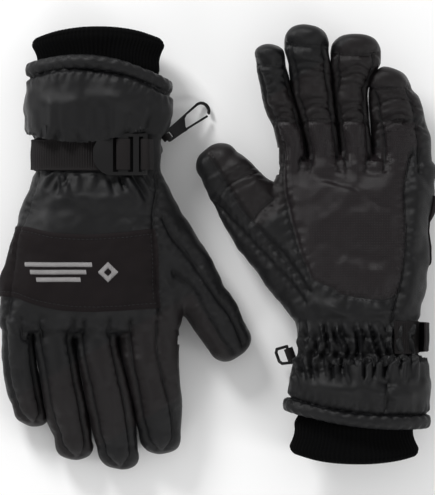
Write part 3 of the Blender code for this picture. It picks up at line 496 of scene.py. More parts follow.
class Seams:
    """All the seams of one glove, laid on its shape."""

    def __init__(self, shape):
        self.shape, self.glove = shape, shape.glove
        self.all = []
        for finger in LONG_FINGERS:
            self.finger(shape.limbs[finger])
        self.thumb(shape.limbs["thumb"])
        self.hand()
        points = np.concatenate([seam.points for seam in self.all])
        self.depths = np.concatenate([np.full(len(seam.points), seam.depth) for seam in self.all])
        self.arcs = np.concatenate([np.arange(len(seam.points)) * SEAM_STEP for seam in self.all])
        self.tree = KDTree(len(points))
        for i, point in enumerate(points):
            self.tree.insert(point, i)
        self.tree.balance()

    def on_hand(self, face, places, count=60):
        """Points on the back or palm at (share of the half width, y)."""
        line = smooth_line(places, count)
        radial, ulnar = self.shape.body.edges(line[:, 1])[:2]
        x = (radial + ulnar) / 2 + line[:, 0] * (ulnar - radial) / 2
        return self.shape.drop(np.column_stack((x, line[:, 1])), face)

    def on_limb(self, limb, face, places, count=50):
        """Points on a finger at (length from the joint, share of the half width)."""
        line = smooth_line(places, count)
        angle = np.arccos(np.clip(line[:, 1], -1, 1)) * self.glove.up(face)
        points = limb.at(line[:, 0], angle)
        near = line[:, 0] < CUT + 4
        if near.any():
            points[near] = self.shape.settle(points[near])
        return points

    def add(self, name, points, **kind):
        self.all.append(Seam(name, points, **kind))

    def finger(self, limb):
        tip, base = limb.length, -8.0
        first = -0.42 if limb.name == "index" else -EDGE_SHARE
        for face, name in ((BACK, "back"), (PALM, "palm")):
            for sign, share in ((-1, first if face == BACK else -EDGE_SHARE), (1, EDGE_SHARE)):
                places = [(base, share), (20, share), (tip * 0.5, (share + sign * EDGE_SHARE) / 2)]
                if face == BACK:
                    places += [(tip - 17, sign * 0.72), (tip - 8, sign * 0.66), (tip - 2.2, sign * 0.4)]
                else:
                    places += [(tip - TIP_SEAM, sign * 0.8)]
                self.add(f"{limb.name}_{name}_{'radial' if sign < 0 else 'ulnar'}",
                         self.on_limb(limb, face, places), limb=limb.name, piped=True, depth=1.0)
        across = [(tip - TIP_SEAM, -0.95), (tip - TIP_SEAM - 1.5, -0.4), (tip - TIP_SEAM - 1.5, 0.4),
                  (tip - TIP_SEAM, 0.95)]
        base_seam = [(25, -0.95), (27, -0.4), (27, 0.4), (25, 0.95)]
        for name, places, depth in (("tip", across, 0.9), ("base", base_seam, 0.8)):
            self.add(f"{limb.name}_{name}", self.on_limb(limb, PALM, places), limb=limb.name, stitched=1.4,
                     depth=depth)

    def thumb(self, limb):
        tip = limb.length
        self.add("thumb_back_outer", self.on_limb(limb, BACK, (
            (-70, 0.1), (-43, -0.36), (-5, -0.52), (18, -0.69), (tip - 5, -0.6))), limb="thumb", piped=True)
        self.add("thumb_back_inner", self.on_limb(limb, BACK, (
            (-34, 0.7), (-19, 0.27), (10, 0.3), (tip - 12, 0.32), (tip - 3, 0.15))), limb="thumb", piped=True)
        self.add("thumb_palm_inner", self.on_limb(limb, PALM, (
            (-72, 0.12), (-34, -0.1), (7, -0.33), (tip - 18, -0.2), (tip - 4, -0.02))),
            limb="thumb", piped=True, stitched=1.6)
        self.add("thumb_palm_outer", self.on_limb(limb, PALM, (
            (-76, -0.38), (-34, -0.68), (-8, -0.8), (17, -0.97))), limb="thumb", piped=True)
        self.add("thumb_palm_cross", self.on_limb(limb, PALM, (
            (-8, -0.2), (-5, 0.35), (-4, 0.9))), limb="thumb", stitched=1.4, depth=0.8)

    def hand(self):
        self.add("back_radial", self.on_hand(BACK, (
            (-0.93, 13), (-0.80, 42), (-0.757, 67), (-0.757, 84), (-0.80, 112))), stitched=1.6)
        self.add("back_ulnar", self.on_hand(BACK, ((0.95, 13), (0.955, 70), (0.95, 112))))
        self.add("palm_ulnar", self.on_hand(PALM, (
            (0.56, 10), (0.63, 30), (0.69, 60), (0.69, 90), (0.66, 113), (0.72, 128))),
            piped=True, stitched=1.6)
        self.add("grip_foot", self.on_hand(PALM, GRIP_FOOT), stitched=-1.6, depth=0.7)
        self.add("grip_left", self.on_hand(PALM, GRIP_LEFT), stitched=1.6, depth=0.9)
        self.add("cuff_seam", self.on_hand(PALM, ((0.38, -14), (0.4, -26), (0.39, -50))), depth=1.1)
        angle = np.linspace(0, 2 * np.pi, 120)
        ring, _ = around(self.shape, HEM_SEAM, angle)
        ring, _ = around(self.shape, hem_line(self.glove, ring[:, 0]), angle)
        self.add("hem", ring, depth=1.5)

    def nearest(self, points):
        """Distance to the nearest seam, its depth and the length along it, at each point."""
        found = [self.tree.find(point) for point in points]
        index = np.array([item[1] for item in found])
        return np.array([item[2] for item in found]), self.depths[index], self.arcs[index]


def noise_field(points, scale, seed):
    offset = Vector((seed * 17.3, seed * 5.1, seed * 9.7))
    return np.array([noise.noise(Vector(point) / scale + offset) for point in points])


def segment_distance(points, a, b):
    """Distance in x and y from a segment, and how far past its middle along it, from -1 to 1."""
    a, b = np.asarray(a, float), np.asarray(b, float)
    run = b - a
    t = np.clip((points - a) @ run / (run @ run), 0, 1)
    gap = points - (a + t[:, None] * run)
    return np.linalg.norm(gap, axis=1), 2 * t - 1


CROWD_REACH = 4.0
SEAM_DEPTH = 1.7
SEAM_WIDTH = 1.6
FOLD_GAIN = 2.3
TIP_SPREAD = {("left", "ring"): 8.0}  # the end of this finger is pressed wide over its neighbour
SIDE_FILL = 0.55  # closes the room that the CAD shells keep between fingers
PUFF = 2.0
PUFF_REACH = 8.0
PUCKER = 0.42
PUCKER_PITCH = 6.4


class Relief:
    """How far the filled, sewn fabric stands off the smooth shape at any point."""

    def __init__(self, shape, seams):
        self.shape, self.seams, self.glove = shape, seams, shape.glove
        body = shape.body
        self.folds = []
        for face, start, end, width, height in FOLDS:
            ends = []
            for share, y in (start, end):
                radial, ulnar = body.edges(np.array([float(y)]))[:2]
                ends.append((float((radial + ulnar)[0] / 2 + share * (ulnar - radial)[0] / 2), y))
            self.folds.append((face, ends[0], ends[1], width, height))

    def crowding(self, points, limb):
        """0 where a neighbouring finger touches, 1 clear of it."""
        if limb == "thumb":
            return np.ones(len(points))
        near = []
        for name in LONG_FINGERS:
            finger = self.shape.limbs[name]
            if name != limb:
                s = (points - finger.base) @ finger.along
                near.append(np.where(s > -4, finger.distance(points) + np.clip(-s, 0, 4) * 2, 99.0))
        near = np.sort(near, axis=0)
        return np.clip(near[1 if limb is None else 0] / CROWD_REACH, 0, 1)

    def height(self, points, normals, limb=None):
        distance, depth, arc = self.seams.nearest(points)
        y = points[:, 1]
        seed = 3.0 if self.glove.side == "left" else 1.0
        free = smooth_step(np.abs(y), STRAP_ROOM - 1.5, STRAP_ROOM + 4)  # flat under the strap
        puff = PUFF * (1 - np.exp(-(distance / PUFF_REACH) ** 1.5))
        calm = 1 - 0.45 * smooth_step(y, 105, 135)  # the fingers are filled tighter than the hand
        soft = (noise_field(points, 17.0, seed) * 1.8 + noise_field(points, 7.5, seed + 1) * 0.7) * calm
        seam = -SEAM_DEPTH * depth * np.exp(-(distance / SEAM_WIDTH) ** 2)
        stray = noise_field(points, 22.0, seed + 2) * 5
        pucker = PUCKER * depth * np.sin(arc * 2 * np.pi / PUCKER_PITCH + stray)
        pucker *= np.exp(-np.abs(distance - 3.0) / 3.0)
        total = (puff + soft) * (0.25 + 0.75 * free) + seam + pucker * free * calm
        if limb is None or limb == "thumb":
            total += self.hand_folds(points, normals) * free
            total += self.gathers(points, normals)
        if limb is not None:
            total += self.limb_folds(points, normals, limb)
        return total * (0.15 + 0.85 * self.crowding(points, limb))

    def hand_folds(self, points, normals):
        total = np.zeros(len(points))
        for face, start, end, width, height in self.folds:
            gap, along = segment_distance(points[:, :2], start, end)
            side = smooth_step(normals[:, 2] * self.glove.up(face), 0.0, 0.5)
            total += FOLD_GAIN * height * np.exp(-(gap / width) ** 2) * side * (1 - 0.5 * along ** 2)
        return total

    def gathers(self, points, normals):
        """The palm side of the wrist, drawn up on elastic: pleats that pinch at each stitch line."""
        x, y = points[:, 0], points[:, 1]
        side = smooth_step(normals[:, 2] * self.glove.up(PALM), 0.05, 0.6)
        reach = smooth_step(y, -34, -23) * (1 - smooth_step(y, 2, 14))
        phase = 2 * np.pi * (x + 3.0 * noise_field(points, 15.0, 8.0)) / GATHER_PITCH
        pleat = np.sin(phase + 1.7 * np.sin(y / 6.0 + x / 17.0)) + 0.4 * np.sin(1.7 * phase + y / 4.0)
        rows = np.zeros(len(points))
        for row in GATHER_ROWS:
            rows += np.exp(-((y - row) / 2.0) ** 2)
        return side * reach * (GATHER_HEIGHT * 0.6 * pleat + 1.2 - 1.5 * rows)

    def limb_folds(self, points, normals, name):
        """Creases across a finger's palm side at its joints, and soft ones along its back."""
        limb = self.shape.limbs[name]
        s, u, _ = limb.local(points)
        u0 = limb.section(s)[0]
        palm = smooth_step(normals[:, 2] * self.glove.up(PALM), 0.1, 0.7)
        wave = noise_field(points, 14.0, 5.0) * 3.0
        total = np.zeros(len(points))
        for joint_at in (0.40, 0.68) if name != "thumb" else (0.45,):
            at = limb.length * joint_at
            for k, depth in ((-5.5, 0.5), (0, 1.0), (5.0, 0.6)):
                total -= depth * 1.5 * np.exp(-((s - at - k + wave + 0.02 * (u - u0) ** 2) / 1.5) ** 2) * palm
            total += 1.4 * np.exp(-((s - at - 9 + wave) / 3.5) ** 2) * palm
        back = smooth_step(normals[:, 2] * self.glove.up(BACK), 0.1, 0.7)
        for joint_at, depth in ((0.4, 0.6), (0.66, 0.5)) if name != "thumb" else ((0.5, 0.6),):
            at = limb.length * joint_at
            total -= depth * np.exp(-((s - at + wave * 1.3) / 3.0) ** 2) * back
        return total * smooth_step(s, CUT - 2, CUT + 8)


# ---------------------------------------------------------------- making pieces

REST = 2.0  # height below which the fabric is pressed by the floor


def rest_on_floor(points):
    """Presses what would sink into the floor flat upon it, with the order of layers kept."""
    points = np.array(points, float)
    low = points[:, 2] < REST
    points[low, 2] = REST * np.exp((points[low, 2] - REST) / REST)
    return points


def new_piece(glove, name, points, faces, finish):
    """A smooth mesh object from millimetre points in a glove's frame."""
    full = f"{glove.side}_{name}"
    mesh = bpy.data.meshes.new(full)
    mesh.from_pydata(glove.outward(rest_on_floor(points)).tolist(), [], [list(map(int, f)) for f in faces])
    piece = bpy.data.objects.new(full, mesh)
    bpy.context.scene.collection.objects.link(piece)
    mesh.materials.append(material(finish))
    mesh.shade_smooth()
    return piece


def apply_modifiers(piece):
    with bpy.context.temp_override(object=piece, active_object=piece, selected_objects=[piece]):
        for modifier in list(piece.modifiers):
            bpy.ops.object.modifier_apply(modifier=modifier.name)


def thicken(piece, wall, crisp=50):
    """Gives an open skin its thickness, inward, with a sharp rim."""
    solid = piece.modifiers.new("wall", "SOLIDIFY")
    solid.thickness = wall * MM
    solid.offset = -1
    apply_modifiers(piece)
    piece.data.set_sharp_from_angle(angle=math.radians(crisp))


def slice_off(piece, glove, start, direction):
    """Removes what lies beyond a plane given in the glove's frame."""
    direction = np.asarray(direction, float)
    bm = bmesh.new()
    bm.from_mesh(piece.data)
    normal = Vector((*(direction[:2] * glove.turn), direction[2]))
    bmesh.ops.bisect_plane(bm, geom=bm.verts[:] + bm.edges[:] + bm.faces[:], dist=1e-6,
                           plane_co=Vector(glove.outward(np.asarray(start, float))), plane_no=normal,
                           clear_outer=True)
    bm.to_mesh(piece.data)
    bm.free()


def follow(piece, glove, limb):
    """Rides on the hand; a finger's piece only has its transform baked into its mesh."""
    if limb is None:
        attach(piece, f"{glove.side}_hand")
        return
    start = glove.outward(limb.base + limb.along * CUT)
    end = glove.outward(limb.base + limb.along * (CUT + BEND))
    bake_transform(piece)


# ---------------------------------------------------------------- materials

# Colour, roughness, sheen, weave size (mm) and weave depth of each finish.
FINISHES = {
    "shell": ((0.0026, 0.0026, 0.0030), 0.40, 0.014, 0.62, 0.55),
    "softshell": ((0.0062, 0.0045, 0.0048), 0.78, 0.010, 0.35, 0.25),
    "grip": ((0.0125, 0.0096, 0.0106), 0.5, 0.012, 0.9, 0.35),
    "knit": ((0.0018, 0.0018, 0.0019), 0.95, 0.01, 0.5, 0.5),
    "fleece": ((0.006, 0.006, 0.0065), 0.98, 0.08, 0.8, 0.6),
    "webbing": ((0.0060, 0.0049, 0.0050), 0.70, 0.02, 0.55, 0.6),
    "plastic": ((0.0030, 0.0028, 0.0030), 0.34, 0.0, 0.5, 0.05),
    "elastic": ((0.008, 0.008, 0.009), 0.85, 0.03, 0.5, 0.4),
    "thread": ((0.011, 0.011, 0.012), 0.55, 0.02, 0.3, 0.3),
    "embroidery": ((0.27, 0.26, 0.26), 0.55, 0.15, 0.4, 0.3),
}
SHINE = {"softshell": 0.15, "webbing": 0.2, "plastic": 0.3, "grip": 0.22, "embroidery": 0.4, "knit": 0.05,
         "fleece": 0.05}
PLAIN_SHINE = 0.28  # of every other finish
_made = {}


def shade(colour, factor):
    """A colour made darker or lighter, up to white."""
    return tuple(min(1, c * factor) for c in colour)


class Nodes:
    """Short calls for building a material's node tree."""

    def __init__(self, tree):
        self.tree = tree

    def add(self, kind, **values):
        node = self.tree.nodes.new(kind)
        for key, value in values.items():
            if key in node.inputs:
                node.inputs[key].default_value = value
            else:
                setattr(node, key, value)
        return node

    def link(self, source, target):
        self.tree.links.new(source, target)

    def math(self, operation, a, b=0.0):
        node = self.add("ShaderNodeMath", operation=operation)
        for socket, value in zip(node.inputs, (a, b)):
            if isinstance(value, (int, float)):
                socket.default_value = value
            else:
                self.link(value, socket)
        return node.outputs[0]

    def mix(self, factor, a, b):
        node = self.add("ShaderNodeMix", data_type="RGBA")
        for socket, value in ((node.inputs[0], factor), (node.inputs[6], a), (node.inputs[7], b)):
            if isinstance(value, (int, float)):
                socket.default_value = value
            elif isinstance(value, tuple):
                socket.default_value = (*value, 1)
            else:
                self.link(value, socket)
        return node.outputs[2]


def twill(n, coordinates, size):
    """Height of a twill weave whose threads are size millimetres apart."""
    split = n.add("ShaderNodeSeparateXYZ")
    n.link(coordinates, split.inputs[0])
    turn = 2 * math.pi / (size * MM)
    x, y, z = (n.math("MULTIPLY", split.outputs[i], turn) for i in range(3))
    warp = n.math("SINE", n.math("ADD", n.math("ADD", x, y), z))
    weft = n.math("SINE", n.math("SUBTRACT", n.math("SUBTRACT", x, y), z))
    return n.math("ADD", n.math("MULTIPLY", warp, 0.6), n.math("MULTIPLY", weft, 0.4))


def material(finish):
    if finish in _made:
        return _made[finish]
    colour, rough, sheen, weave, depth = FINISHES[finish]
    made = bpy.data.materials.new(finish)
    made.use_nodes = True
    tree = made.node_tree
    tree.nodes.clear()
    n = Nodes(tree)
    place = n.add("ShaderNodeTexCoord").outputs["Object"]
    shader = n.add("ShaderNodeBsdfPrincipled")
    output = n.add("ShaderNodeOutputMaterial")
    n.link(shader.outputs[0], output.inputs[0])
    shader.inputs["Sheen Weight"].default_value = sheen
    shader.inputs["Sheen Roughness"].default_value = 0.45
    shader.inputs["Sheen Tint"].default_value = (0.75, 0.78, 0.85, 1)
    shader.inputs["IOR"].default_value = 1.45
    shader.inputs["Specular IOR Level"].default_value = SHINE.get(finish, PLAIN_SHINE)
    broad = n.add("ShaderNodeTexNoise", Scale=55.0, Detail=4.0)
    fine = n.add("ShaderNodeTexNoise", Scale=900.0, Detail=3.0)
    n.link(place, broad.inputs["Vector"])
    n.link(place, fine.inputs["Vector"])
    tone = n.mix(broad.outputs[0], shade(colour, 0.72), shade(colour, 1.35))
    tone = n.mix(n.math("MULTIPLY", fine.outputs[0], 0.5), tone, shade(colour, 1.6))
    height = n.math("ADD", n.math("MULTIPLY", twill(n, place, weave), 0.5),
                    n.math("MULTIPLY", fine.outputs[0], 0.8))
    roughness = n.math("ADD", n.math("MULTIPLY", broad.outputs[0], 0.16), rough - 0.08)
    if finish == "shell":
        smooth = n.add("ShaderNodeAttribute", attribute_name="soft").outputs["Fac"]
        tone = n.mix(smooth, tone, FINISHES["softshell"][0])
        mask = n.add("ShaderNodeAttribute", attribute_name="grip").outputs["Fac"]
        cells = n.add("ShaderNodeTexVoronoi", Scale=650.0)
        n.link(place, cells.inputs["Vector"])
        grip = FINISHES["grip"][0]
        grip_tone = n.mix(cells.outputs["Distance"], grip, shade(grip, 0.5))
        tone = n.mix(mask, tone, grip_tone)
        roughness = n.math("SUBTRACT", roughness, n.math("MULTIPLY", mask, 0.06))
    # Painted sheen: convex ridges and fold tops, found by pointiness, are painted up to twice as light. This
    # stands in for the lamps' highlights on the fabric's bumps.
    painted_sheen_ridges = n.add("ShaderNodeNewGeometry").outputs["Pointiness"]
    edge = n.add("ShaderNodeMapRange")
    edge.inputs["From Min"].default_value = 0.5
    edge.inputs["From Max"].default_value = 0.62
    n.link(painted_sheen_ridges, edge.inputs["Value"])
    tone = n.mix(n.math("MULTIPLY", edge.outputs[0], 0.5), tone, shade(colour, 2.0))
    n.link(tone, shader.inputs["Base Color"])
    n.link(roughness, shader.inputs["Roughness"])
    bump = n.add("ShaderNodeBump", Strength=depth, Distance=0.00018)
    n.link(height, bump.inputs["Height"])
    n.link(bump.outputs[0], shader.inputs["Normal"])
    _made[finish] = made
    return made


# ---------------------------------------------------------------- skins

def polygon_distance(points, outline):
    """Signed distance in x and y from a closed outline, negative inside."""
    best = np.full(len(points), np.inf)
    inside = np.zeros(len(points), dtype=bool)
    for a, b in zip(outline, np.roll(outline, -1, axis=0)):
        best = np.minimum(best, segment_distance(points, a, b)[0])
        spans = (a[1] > points[:, 1]) != (b[1] > points[:, 1])
        rise = b[1] - a[1] if b[1] != a[1] else 1e-9
        inside ^= spans & (points[:, 0] < a[0] + (points[:, 1] - a[1]) / rise * (b[0] - a[0]))
    return np.where(inside, -best, best)


def hand_places(body, places, count=30):
    """x and y of a smooth line through (share, y) places."""
    line = smooth_line(places, count)
    radial, ulnar = body.edges(line[:, 1])[:2]
    return np.column_stack(((radial + ulnar) / 2 + line[:, 0] * (ulnar - radial) / 2, line[:, 1]))


GRIP_FADE = (26.2, 26.8)  # where the grip panel ends on each finger
HAND_BOX = ((-118, -66, -6), (80, 137, 62))  # holds a whole hand and gauntlet
LIMB_ROOM = 4  # round a finger, for its own grid


def grip_mask(shape, points, normals, limb):
    """1 on the palm's grip panel, which reaches up to each finger's base seam and onto the thumb mound."""
    palm = smooth_step(normals[:, 2] * shape.glove.up(PALM), 0.05, 0.25)
    if limb in LONG_FINGERS:
        finger = shape.limbs[limb]
        s, u, _ = finger.local(points)
        u0, _, wide, _ = finger.section(s)
        across = np.abs(u - u0) / wide
        inside = 1 - smooth_step(across, EDGE_SHARE - 0.03, EDGE_SHARE + 0.03)
        return palm * (1 - smooth_step(s, *GRIP_FADE)) * inside
    body = shape.body
    outline = np.concatenate((hand_places(body, GRIP_FOOT), hand_places(body, GRIP_RIGHT)[1:],
                              hand_places(body, GRIP_LEFT)[::-1][:-1]))
    mask = 1 - smooth_step(polygon_distance(points[:, :2], outline), -0.5, 0.5)
    return mask * palm


def make_skin(shape, relief, limb_name):
    """The padded outer fabric of the hand and gauntlet, or of one finger."""
    glove = shape.glove
    if limb_name is None:
        low, high = HAND_BOX
        field = shape.distance
    else:
        limb = shape.limbs[limb_name]
        around_limb = [limb.at(s, angle) for s in np.linspace(0, limb.length, 8)
                       for angle in (0, 1.6, 3.1, 4.7)]
        low, high = np.min(around_limb, axis=0) - LIMB_ROOM, np.max(around_limb, axis=0) + LIMB_ROOM
        field = limb.distance
    points, faces = surface_net(field, low, high, GRID)
    if limb_name is None:
        points = shape.settle(points, 2)
        normals = shape.normal(points)
    else:
        for _ in range(2):
            normals = limb_normals(limb, points)
            points = points - normals * limb.distance(points)[:, None] * 0.9
        normals = limb_normals(limb, points)
    height = relief.height(points, normals, limb_name)
    made = points + normals * height[:, None]
    name = "hand_skin" if limb_name is None else f"{limb_name}_skin"
    piece = new_piece(glove, name, made, faces, "shell")
    for label, mask in (("grip", grip_mask(shape, points, normals, limb_name)),
                        ("soft", soft_mask(shape, points, normals))):
        layer = piece.data.attributes.new(label, "FLOAT", "POINT")
        layer.data.foreach_set("value", mask.astype(np.float32))
    return piece


def soft_mask(shape, points, normals):
    """1 on the thumb's smooth inner panel, between its two inner seams."""
    limb, glove = shape.limbs["thumb"], shape.glove
    s, u, _ = limb.local(points)
    u0, _, wide, _ = limb.section(s)
    share = (u - u0) / wide
    palm = normals[:, 2] * glove.up(PALM) > 0
    inner = np.where(palm, np.interp(s, (-34, 7, limb.length - 18), (-0.1, -0.33, -0.2)),
                     np.interp(s, (-34, -19, 10, limb.length - 12), (0.7, 0.27, 0.3, 0.32)))
    return smooth_step(share - inner, 0.0, 0.04) * smooth_step(s, -14, -12) * (s < limb.length + 5)


def limb_normals(form, points):
    """Outward normals of a limb, or of a whole shape, from the slope of its distance."""
    slope = np.empty_like(points)
    for axis in range(3):
        offset = np.zeros(3)
        offset[axis] = SLOPE_STEP
        slope[:, axis] = form.distance(points + offset) - form.distance(points - offset)
    return unit(slope)


def trim_hand(piece, shape):
    """Cuts the hand's skin at the hem and short of each finger's own skin."""
    glove = shape.glove
    mesh = piece.data
    points = glove.inward(np.array([v.co[:] for v in mesh.vertices]) / MM)
    bm = bmesh.new()
    bm.from_mesh(mesh)
    bm.verts.ensure_lookup_table()
    shift = np.zeros(len(points))
    low = points[:, 1] < -20
    shift[low] = -(hem_line(glove, points[low, 0]) - HEM_SEAM)
    for vert, move in zip(bm.verts, shift):
        vert.co.y += glove.turn * move * MM
    cut = glove.outward(np.array((0.0, HEM_SEAM - HEM_TUCK, 0.0)))
    bmesh.ops.bisect_plane(bm, geom=bm.verts[:] + bm.edges[:] + bm.faces[:], dist=1e-6, plane_co=Vector(cut),
                           plane_no=Vector((0, -glove.turn, 0)), clear_outer=True)
    for vert in bm.verts:
        place = glove.inward(np.array(vert.co[:]) / MM)
        if place[1] < -20:
            vert.co.y += glove.turn * float(hem_line(glove, place[0]) - HEM_SEAM) * MM
    plane = shape.limbs["index"].base + np.array((0, CUT, 0))
    bmesh.ops.bisect_plane(bm, geom=bm.verts[:] + bm.edges[:] + bm.faces[:], dist=1e-6,
                           plane_co=Vector(glove.outward(plane)), plane_no=Vector((0, glove.turn, 0)),
                           clear_outer=True)
    thumb = shape.limbs["thumb"]
    start = thumb.base + thumb.along * CUT
    along = Vector((*(thumb.along[:2] * glove.turn), 0))
    edge = shape.body.edges(np.array([100.0]))[0][0]
    chosen = [f for f in bm.faces if glove.inward(np.array(f.calc_center_median()) / MM)[0] < edge - 2]
    verts = list({v for f in chosen for v in f.verts})
    edges = list({e for f in chosen for e in f.edges})
    bmesh.ops.bisect_plane(bm, geom=verts + edges + chosen, dist=1e-6,
                           plane_co=Vector(glove.outward(start)), plane_no=along)
    beyond = [v for v in bm.verts if (v.co - Vector(glove.outward(start))) @ along > 2e-6
              and glove.inward(np.array(v.co[:]) / MM)[0] < edge - 1]
    bmesh.ops.delete(bm, geom=beyond, context="VERTS")
    bm.to_mesh(mesh)
    bm.free()


def build_skins(shape, relief):
    glove = shape.glove
    side = glove.side
    hand = make_skin(shape, relief, None)
    trim_hand(hand, shape)
    thicken(hand, SKIN_WALL)
    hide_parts(*(f"{side}_{part}" for part in (*PANELS, "wrist_elastic")))
    follow(hand, glove, None)
    for finger in FINGERS:
        limb = shape.limbs[finger]
        skin = make_skin(shape, relief, finger)
        slice_off(skin, glove, limb.base + limb.along * CUT, -limb.along)
        thicken(skin, SKIN_WALL)
        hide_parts(f"{side}_{finger}_shell", f"{side}_{finger}_liner")
        follow(skin, glove, limb)


# ---------------------------------------------------------------- trims

PIPE_RADIUS = 0.62
PIPE_SIDES = 6
STITCH = 2.1
STITCH_PITCH = 3.1
STITCH_RADIUS = 0.27
STITCH_MARKS = np.array((0, 0.25, 0.5, 0.75, 1.0))  # places along a stitch, with its height and taper there
STITCH_LIFT = np.array((-0.15, 0.12, 0.2, 0.12, -0.15))
STITCH_TAPER = np.array((0.5, 0.95, 1.0, 0.95, 0.5))
THREAD_SIDES = 5


def tube(points, radius, sides):
    """Vertices and faces of a round tube along points, closed at both ends."""
    points = np.asarray(points, float)
    ahead = unit(np.gradient(points, axis=0))
    side = np.cross(ahead, (0.0, 0.0, 1.0))
    flat = np.linalg.norm(side, axis=1) < 0.1
    side[flat] = np.cross(ahead[flat], (1.0, 0.0, 0.0))
    for i in range(1, len(side)):
        if side[i] @ side[i - 1] < 0:
            side[i] = -side[i]
    side /= np.linalg.norm(side, axis=1, keepdims=True)
    up = np.cross(side, ahead)
    radius = np.broadcast_to(np.asarray(radius, float), len(points))
    turn = np.arange(sides) * 2 * np.pi / sides
    rings = (points[:, None] + radius[:, None, None] * (np.cos(turn)[None, :, None] * side[:, None]
             + np.sin(turn)[None, :, None] * up[:, None]))
    return rings.reshape(-1, 3), grid_faces(len(points), sides, wrap=True, caps=True)


def grid_faces(rows, columns, wrap=False, caps=False, loop=False):
    """Quads of a grid of rows, whose columns may close into rings and whose rows may close into a loop."""
    faces = []
    last = columns if wrap else columns - 1
    for i in range(rows if loop else rows - 1):
        for j in range(last):
            a, b = i * columns + j, i * columns + (j + 1) % columns
            up = (i + 1) % rows * columns
            faces.append((a, b, up + (j + 1) % columns, up + j))
    if caps:
        faces.append(tuple(range(columns))[::-1])
        faces.append(tuple((rows - 1) * columns + j for j in range(columns)))
    return faces


def merge(parts):
    """One list of vertices and faces from several."""
    points, faces, offset = [], [], 0
    for part_points, part_faces in parts:
        points.append(part_points)
        faces += [tuple(i + offset for i in face) for face in part_faces]
        offset += len(part_points)
    return np.concatenate(points), faces


def on_relief(shape, relief, points, limb, lift):
    """Moves points of the smooth shape onto the puffed fabric, and a lift off it."""
    if limb is None:
        normals = shape.normal(points)
    else:
        normals = limb_normals(shape.limbs[limb], points)
    return points + normals * (relief.height(points, normals, limb) + lift)[:, None], normals


def split_by_limb(shape, seam):
    """(limb name or None, points) runs of a seam, parted where a finger's own skin starts."""
    if seam.limb is None:
        return [(None, seam.points)]
    limb = shape.limbs[seam.limb]
    s = (seam.points - limb.base) @ limb.along
    hand, finger = seam.points[s < CUT + 0.8], seam.points[s > CUT - 0.8]
    return [(name, run) for name, run in ((None, hand), (seam.limb, finger)) if len(run) > 3]


def stitch_row(points, normals, shift):
    """Thread ends showing along a line: short spindles, shifted to one side of it."""
    ahead = unit(np.gradient(points, axis=0))
    beside = np.cross(normals, ahead)
    line = points + beside * shift
    lengths = run_lengths(line)
    parts = []
    for start in np.arange(1.0, lengths[-1] - STITCH, STITCH_PITCH):
        at = start + STITCH * STITCH_MARKS
        spine = interpolated(at, lengths, line) + interpolated(at, lengths, normals) * STITCH_LIFT[:, None]
        parts.append(tube(spine, STITCH_RADIUS * STITCH_TAPER, THREAD_SIDES))
    return parts


def from_ends(count):
    """How many steps each place of a row lies from the nearer end."""
    return np.minimum(np.arange(count), np.arange(count)[::-1])


def build_seam_trims(shape, seams, relief):
    """Piping along the finger seams and rows of stitches beside the sewn ones, in a piece for the hand and
    one for each finger; only the hand's pieces ride on a body.
    """
    glove = shape.glove
    piping, stitches = {}, {}
    for seam in seams.all:
        for limb, run in split_by_limb(shape, seam):
            if len(run) < 6 or not (seam.piped or seam.stitched):
                continue
            line, normals = on_relief(shape, relief, run, limb, 0.0)
            for _ in range(2):
                line[1:-1] = (line[:-2] + 2 * line[1:-1] + line[2:]) / 4
            if seam.piped:
                ends = np.clip(from_ends(len(line)) / 3.0 + 0.3, 0, 1)
                piping.setdefault(limb, []).append(
                    tube(line + normals * 0.12, PIPE_RADIUS * ends, PIPE_SIDES))
            if seam.stitched:
                beside = unit(np.cross(normals, np.gradient(run, axis=0)))
                shifted = run + beside * seam.stitched
                row, row_normals = on_relief(shape, relief, shifted, limb, 0.05)
                stitches.setdefault(limb, []).extend(stitch_row(row, row_normals, 0.0))
    for table, label, finish in ((piping, "piping", "shell"), (stitches, "stitches", "thread")):
        for limb, parts in table.items():
            points, faces = merge(parts)
            name = f"hand_{label}" if limb is None else f"{limb}_{label}"
            piece = new_piece(glove, name, points, faces, finish)
            follow(piece, glove, shape.limbs[limb] if limb else None)


def share_angle(share):
    """The angle round a section whose point lies at this share of the half width, on the back."""
    share = np.asarray(share, float)
    return np.arccos(np.sign(share) * np.abs(share) ** (BODY_POWER / 2))


def around(shape, y, angle, lift=0.0, relief=None):
    """Points of the hand's surface at section angles: 0 on the little finger's side, 90 degrees mid back."""
    y, angle = np.broadcast_arrays(np.asarray(y, float), np.asarray(angle, float))
    flat_y, flat_angle = y.ravel(), angle.ravel() * shape.glove.back
    radial, ulnar, low, high = shape.body.edges(flat_y)
    centre = np.column_stack(((radial + ulnar) / 2, flat_y, (low + high) / 2))
    c, s = np.cos(flat_angle), np.sin(flat_angle)
    power = 2 / BODY_POWER
    ray = np.column_stack(((ulnar - radial) / 2 * np.sign(c) * np.abs(c) ** power, np.zeros(len(c)),
                           (high - low) / 2 * np.sign(s) * np.abs(s) ** power))
    reach = np.linalg.norm(ray, axis=1)
    ray /= reach[:, None]
    points = centre + ray * reach[:, None]
    for _ in range(8):
        points = points - ray * shape.distance(points)[:, None] * 0.8
    normals = shape.normal(points)
    total = np.broadcast_to(lift, y.shape).ravel().astype(float)
    if relief is not None:
        total = total + relief.height(points, normals, None)
    return (points + normals * total[:, None]).reshape(*y.shape, 3), normals.reshape(*y.shape, 3)


def slab(glove, name, grid, finish, wall, crisp=40):
    """A sheet from a grid of points, given its thickness inward."""
    rows, columns = grid.shape[:2]
    piece = new_piece(glove, name, grid.reshape(-1, 3), grid_faces(rows, columns), finish)
    centre = np.array(glove.outward(np.array((0.0, grid[..., 1].mean(), 26.0))))
    mesh = piece.data
    facing = sum((np.array(p.center) - centre) @ np.array(p.normal) for p in mesh.polygons)
    if facing < 0:
        mesh.flip_normals()
    thicken(piece, wall, crisp)
    return piece


def edge_curve(places, share):
    places = np.asarray(places)
    return curve(share, places[:, 0], places[:, 1])


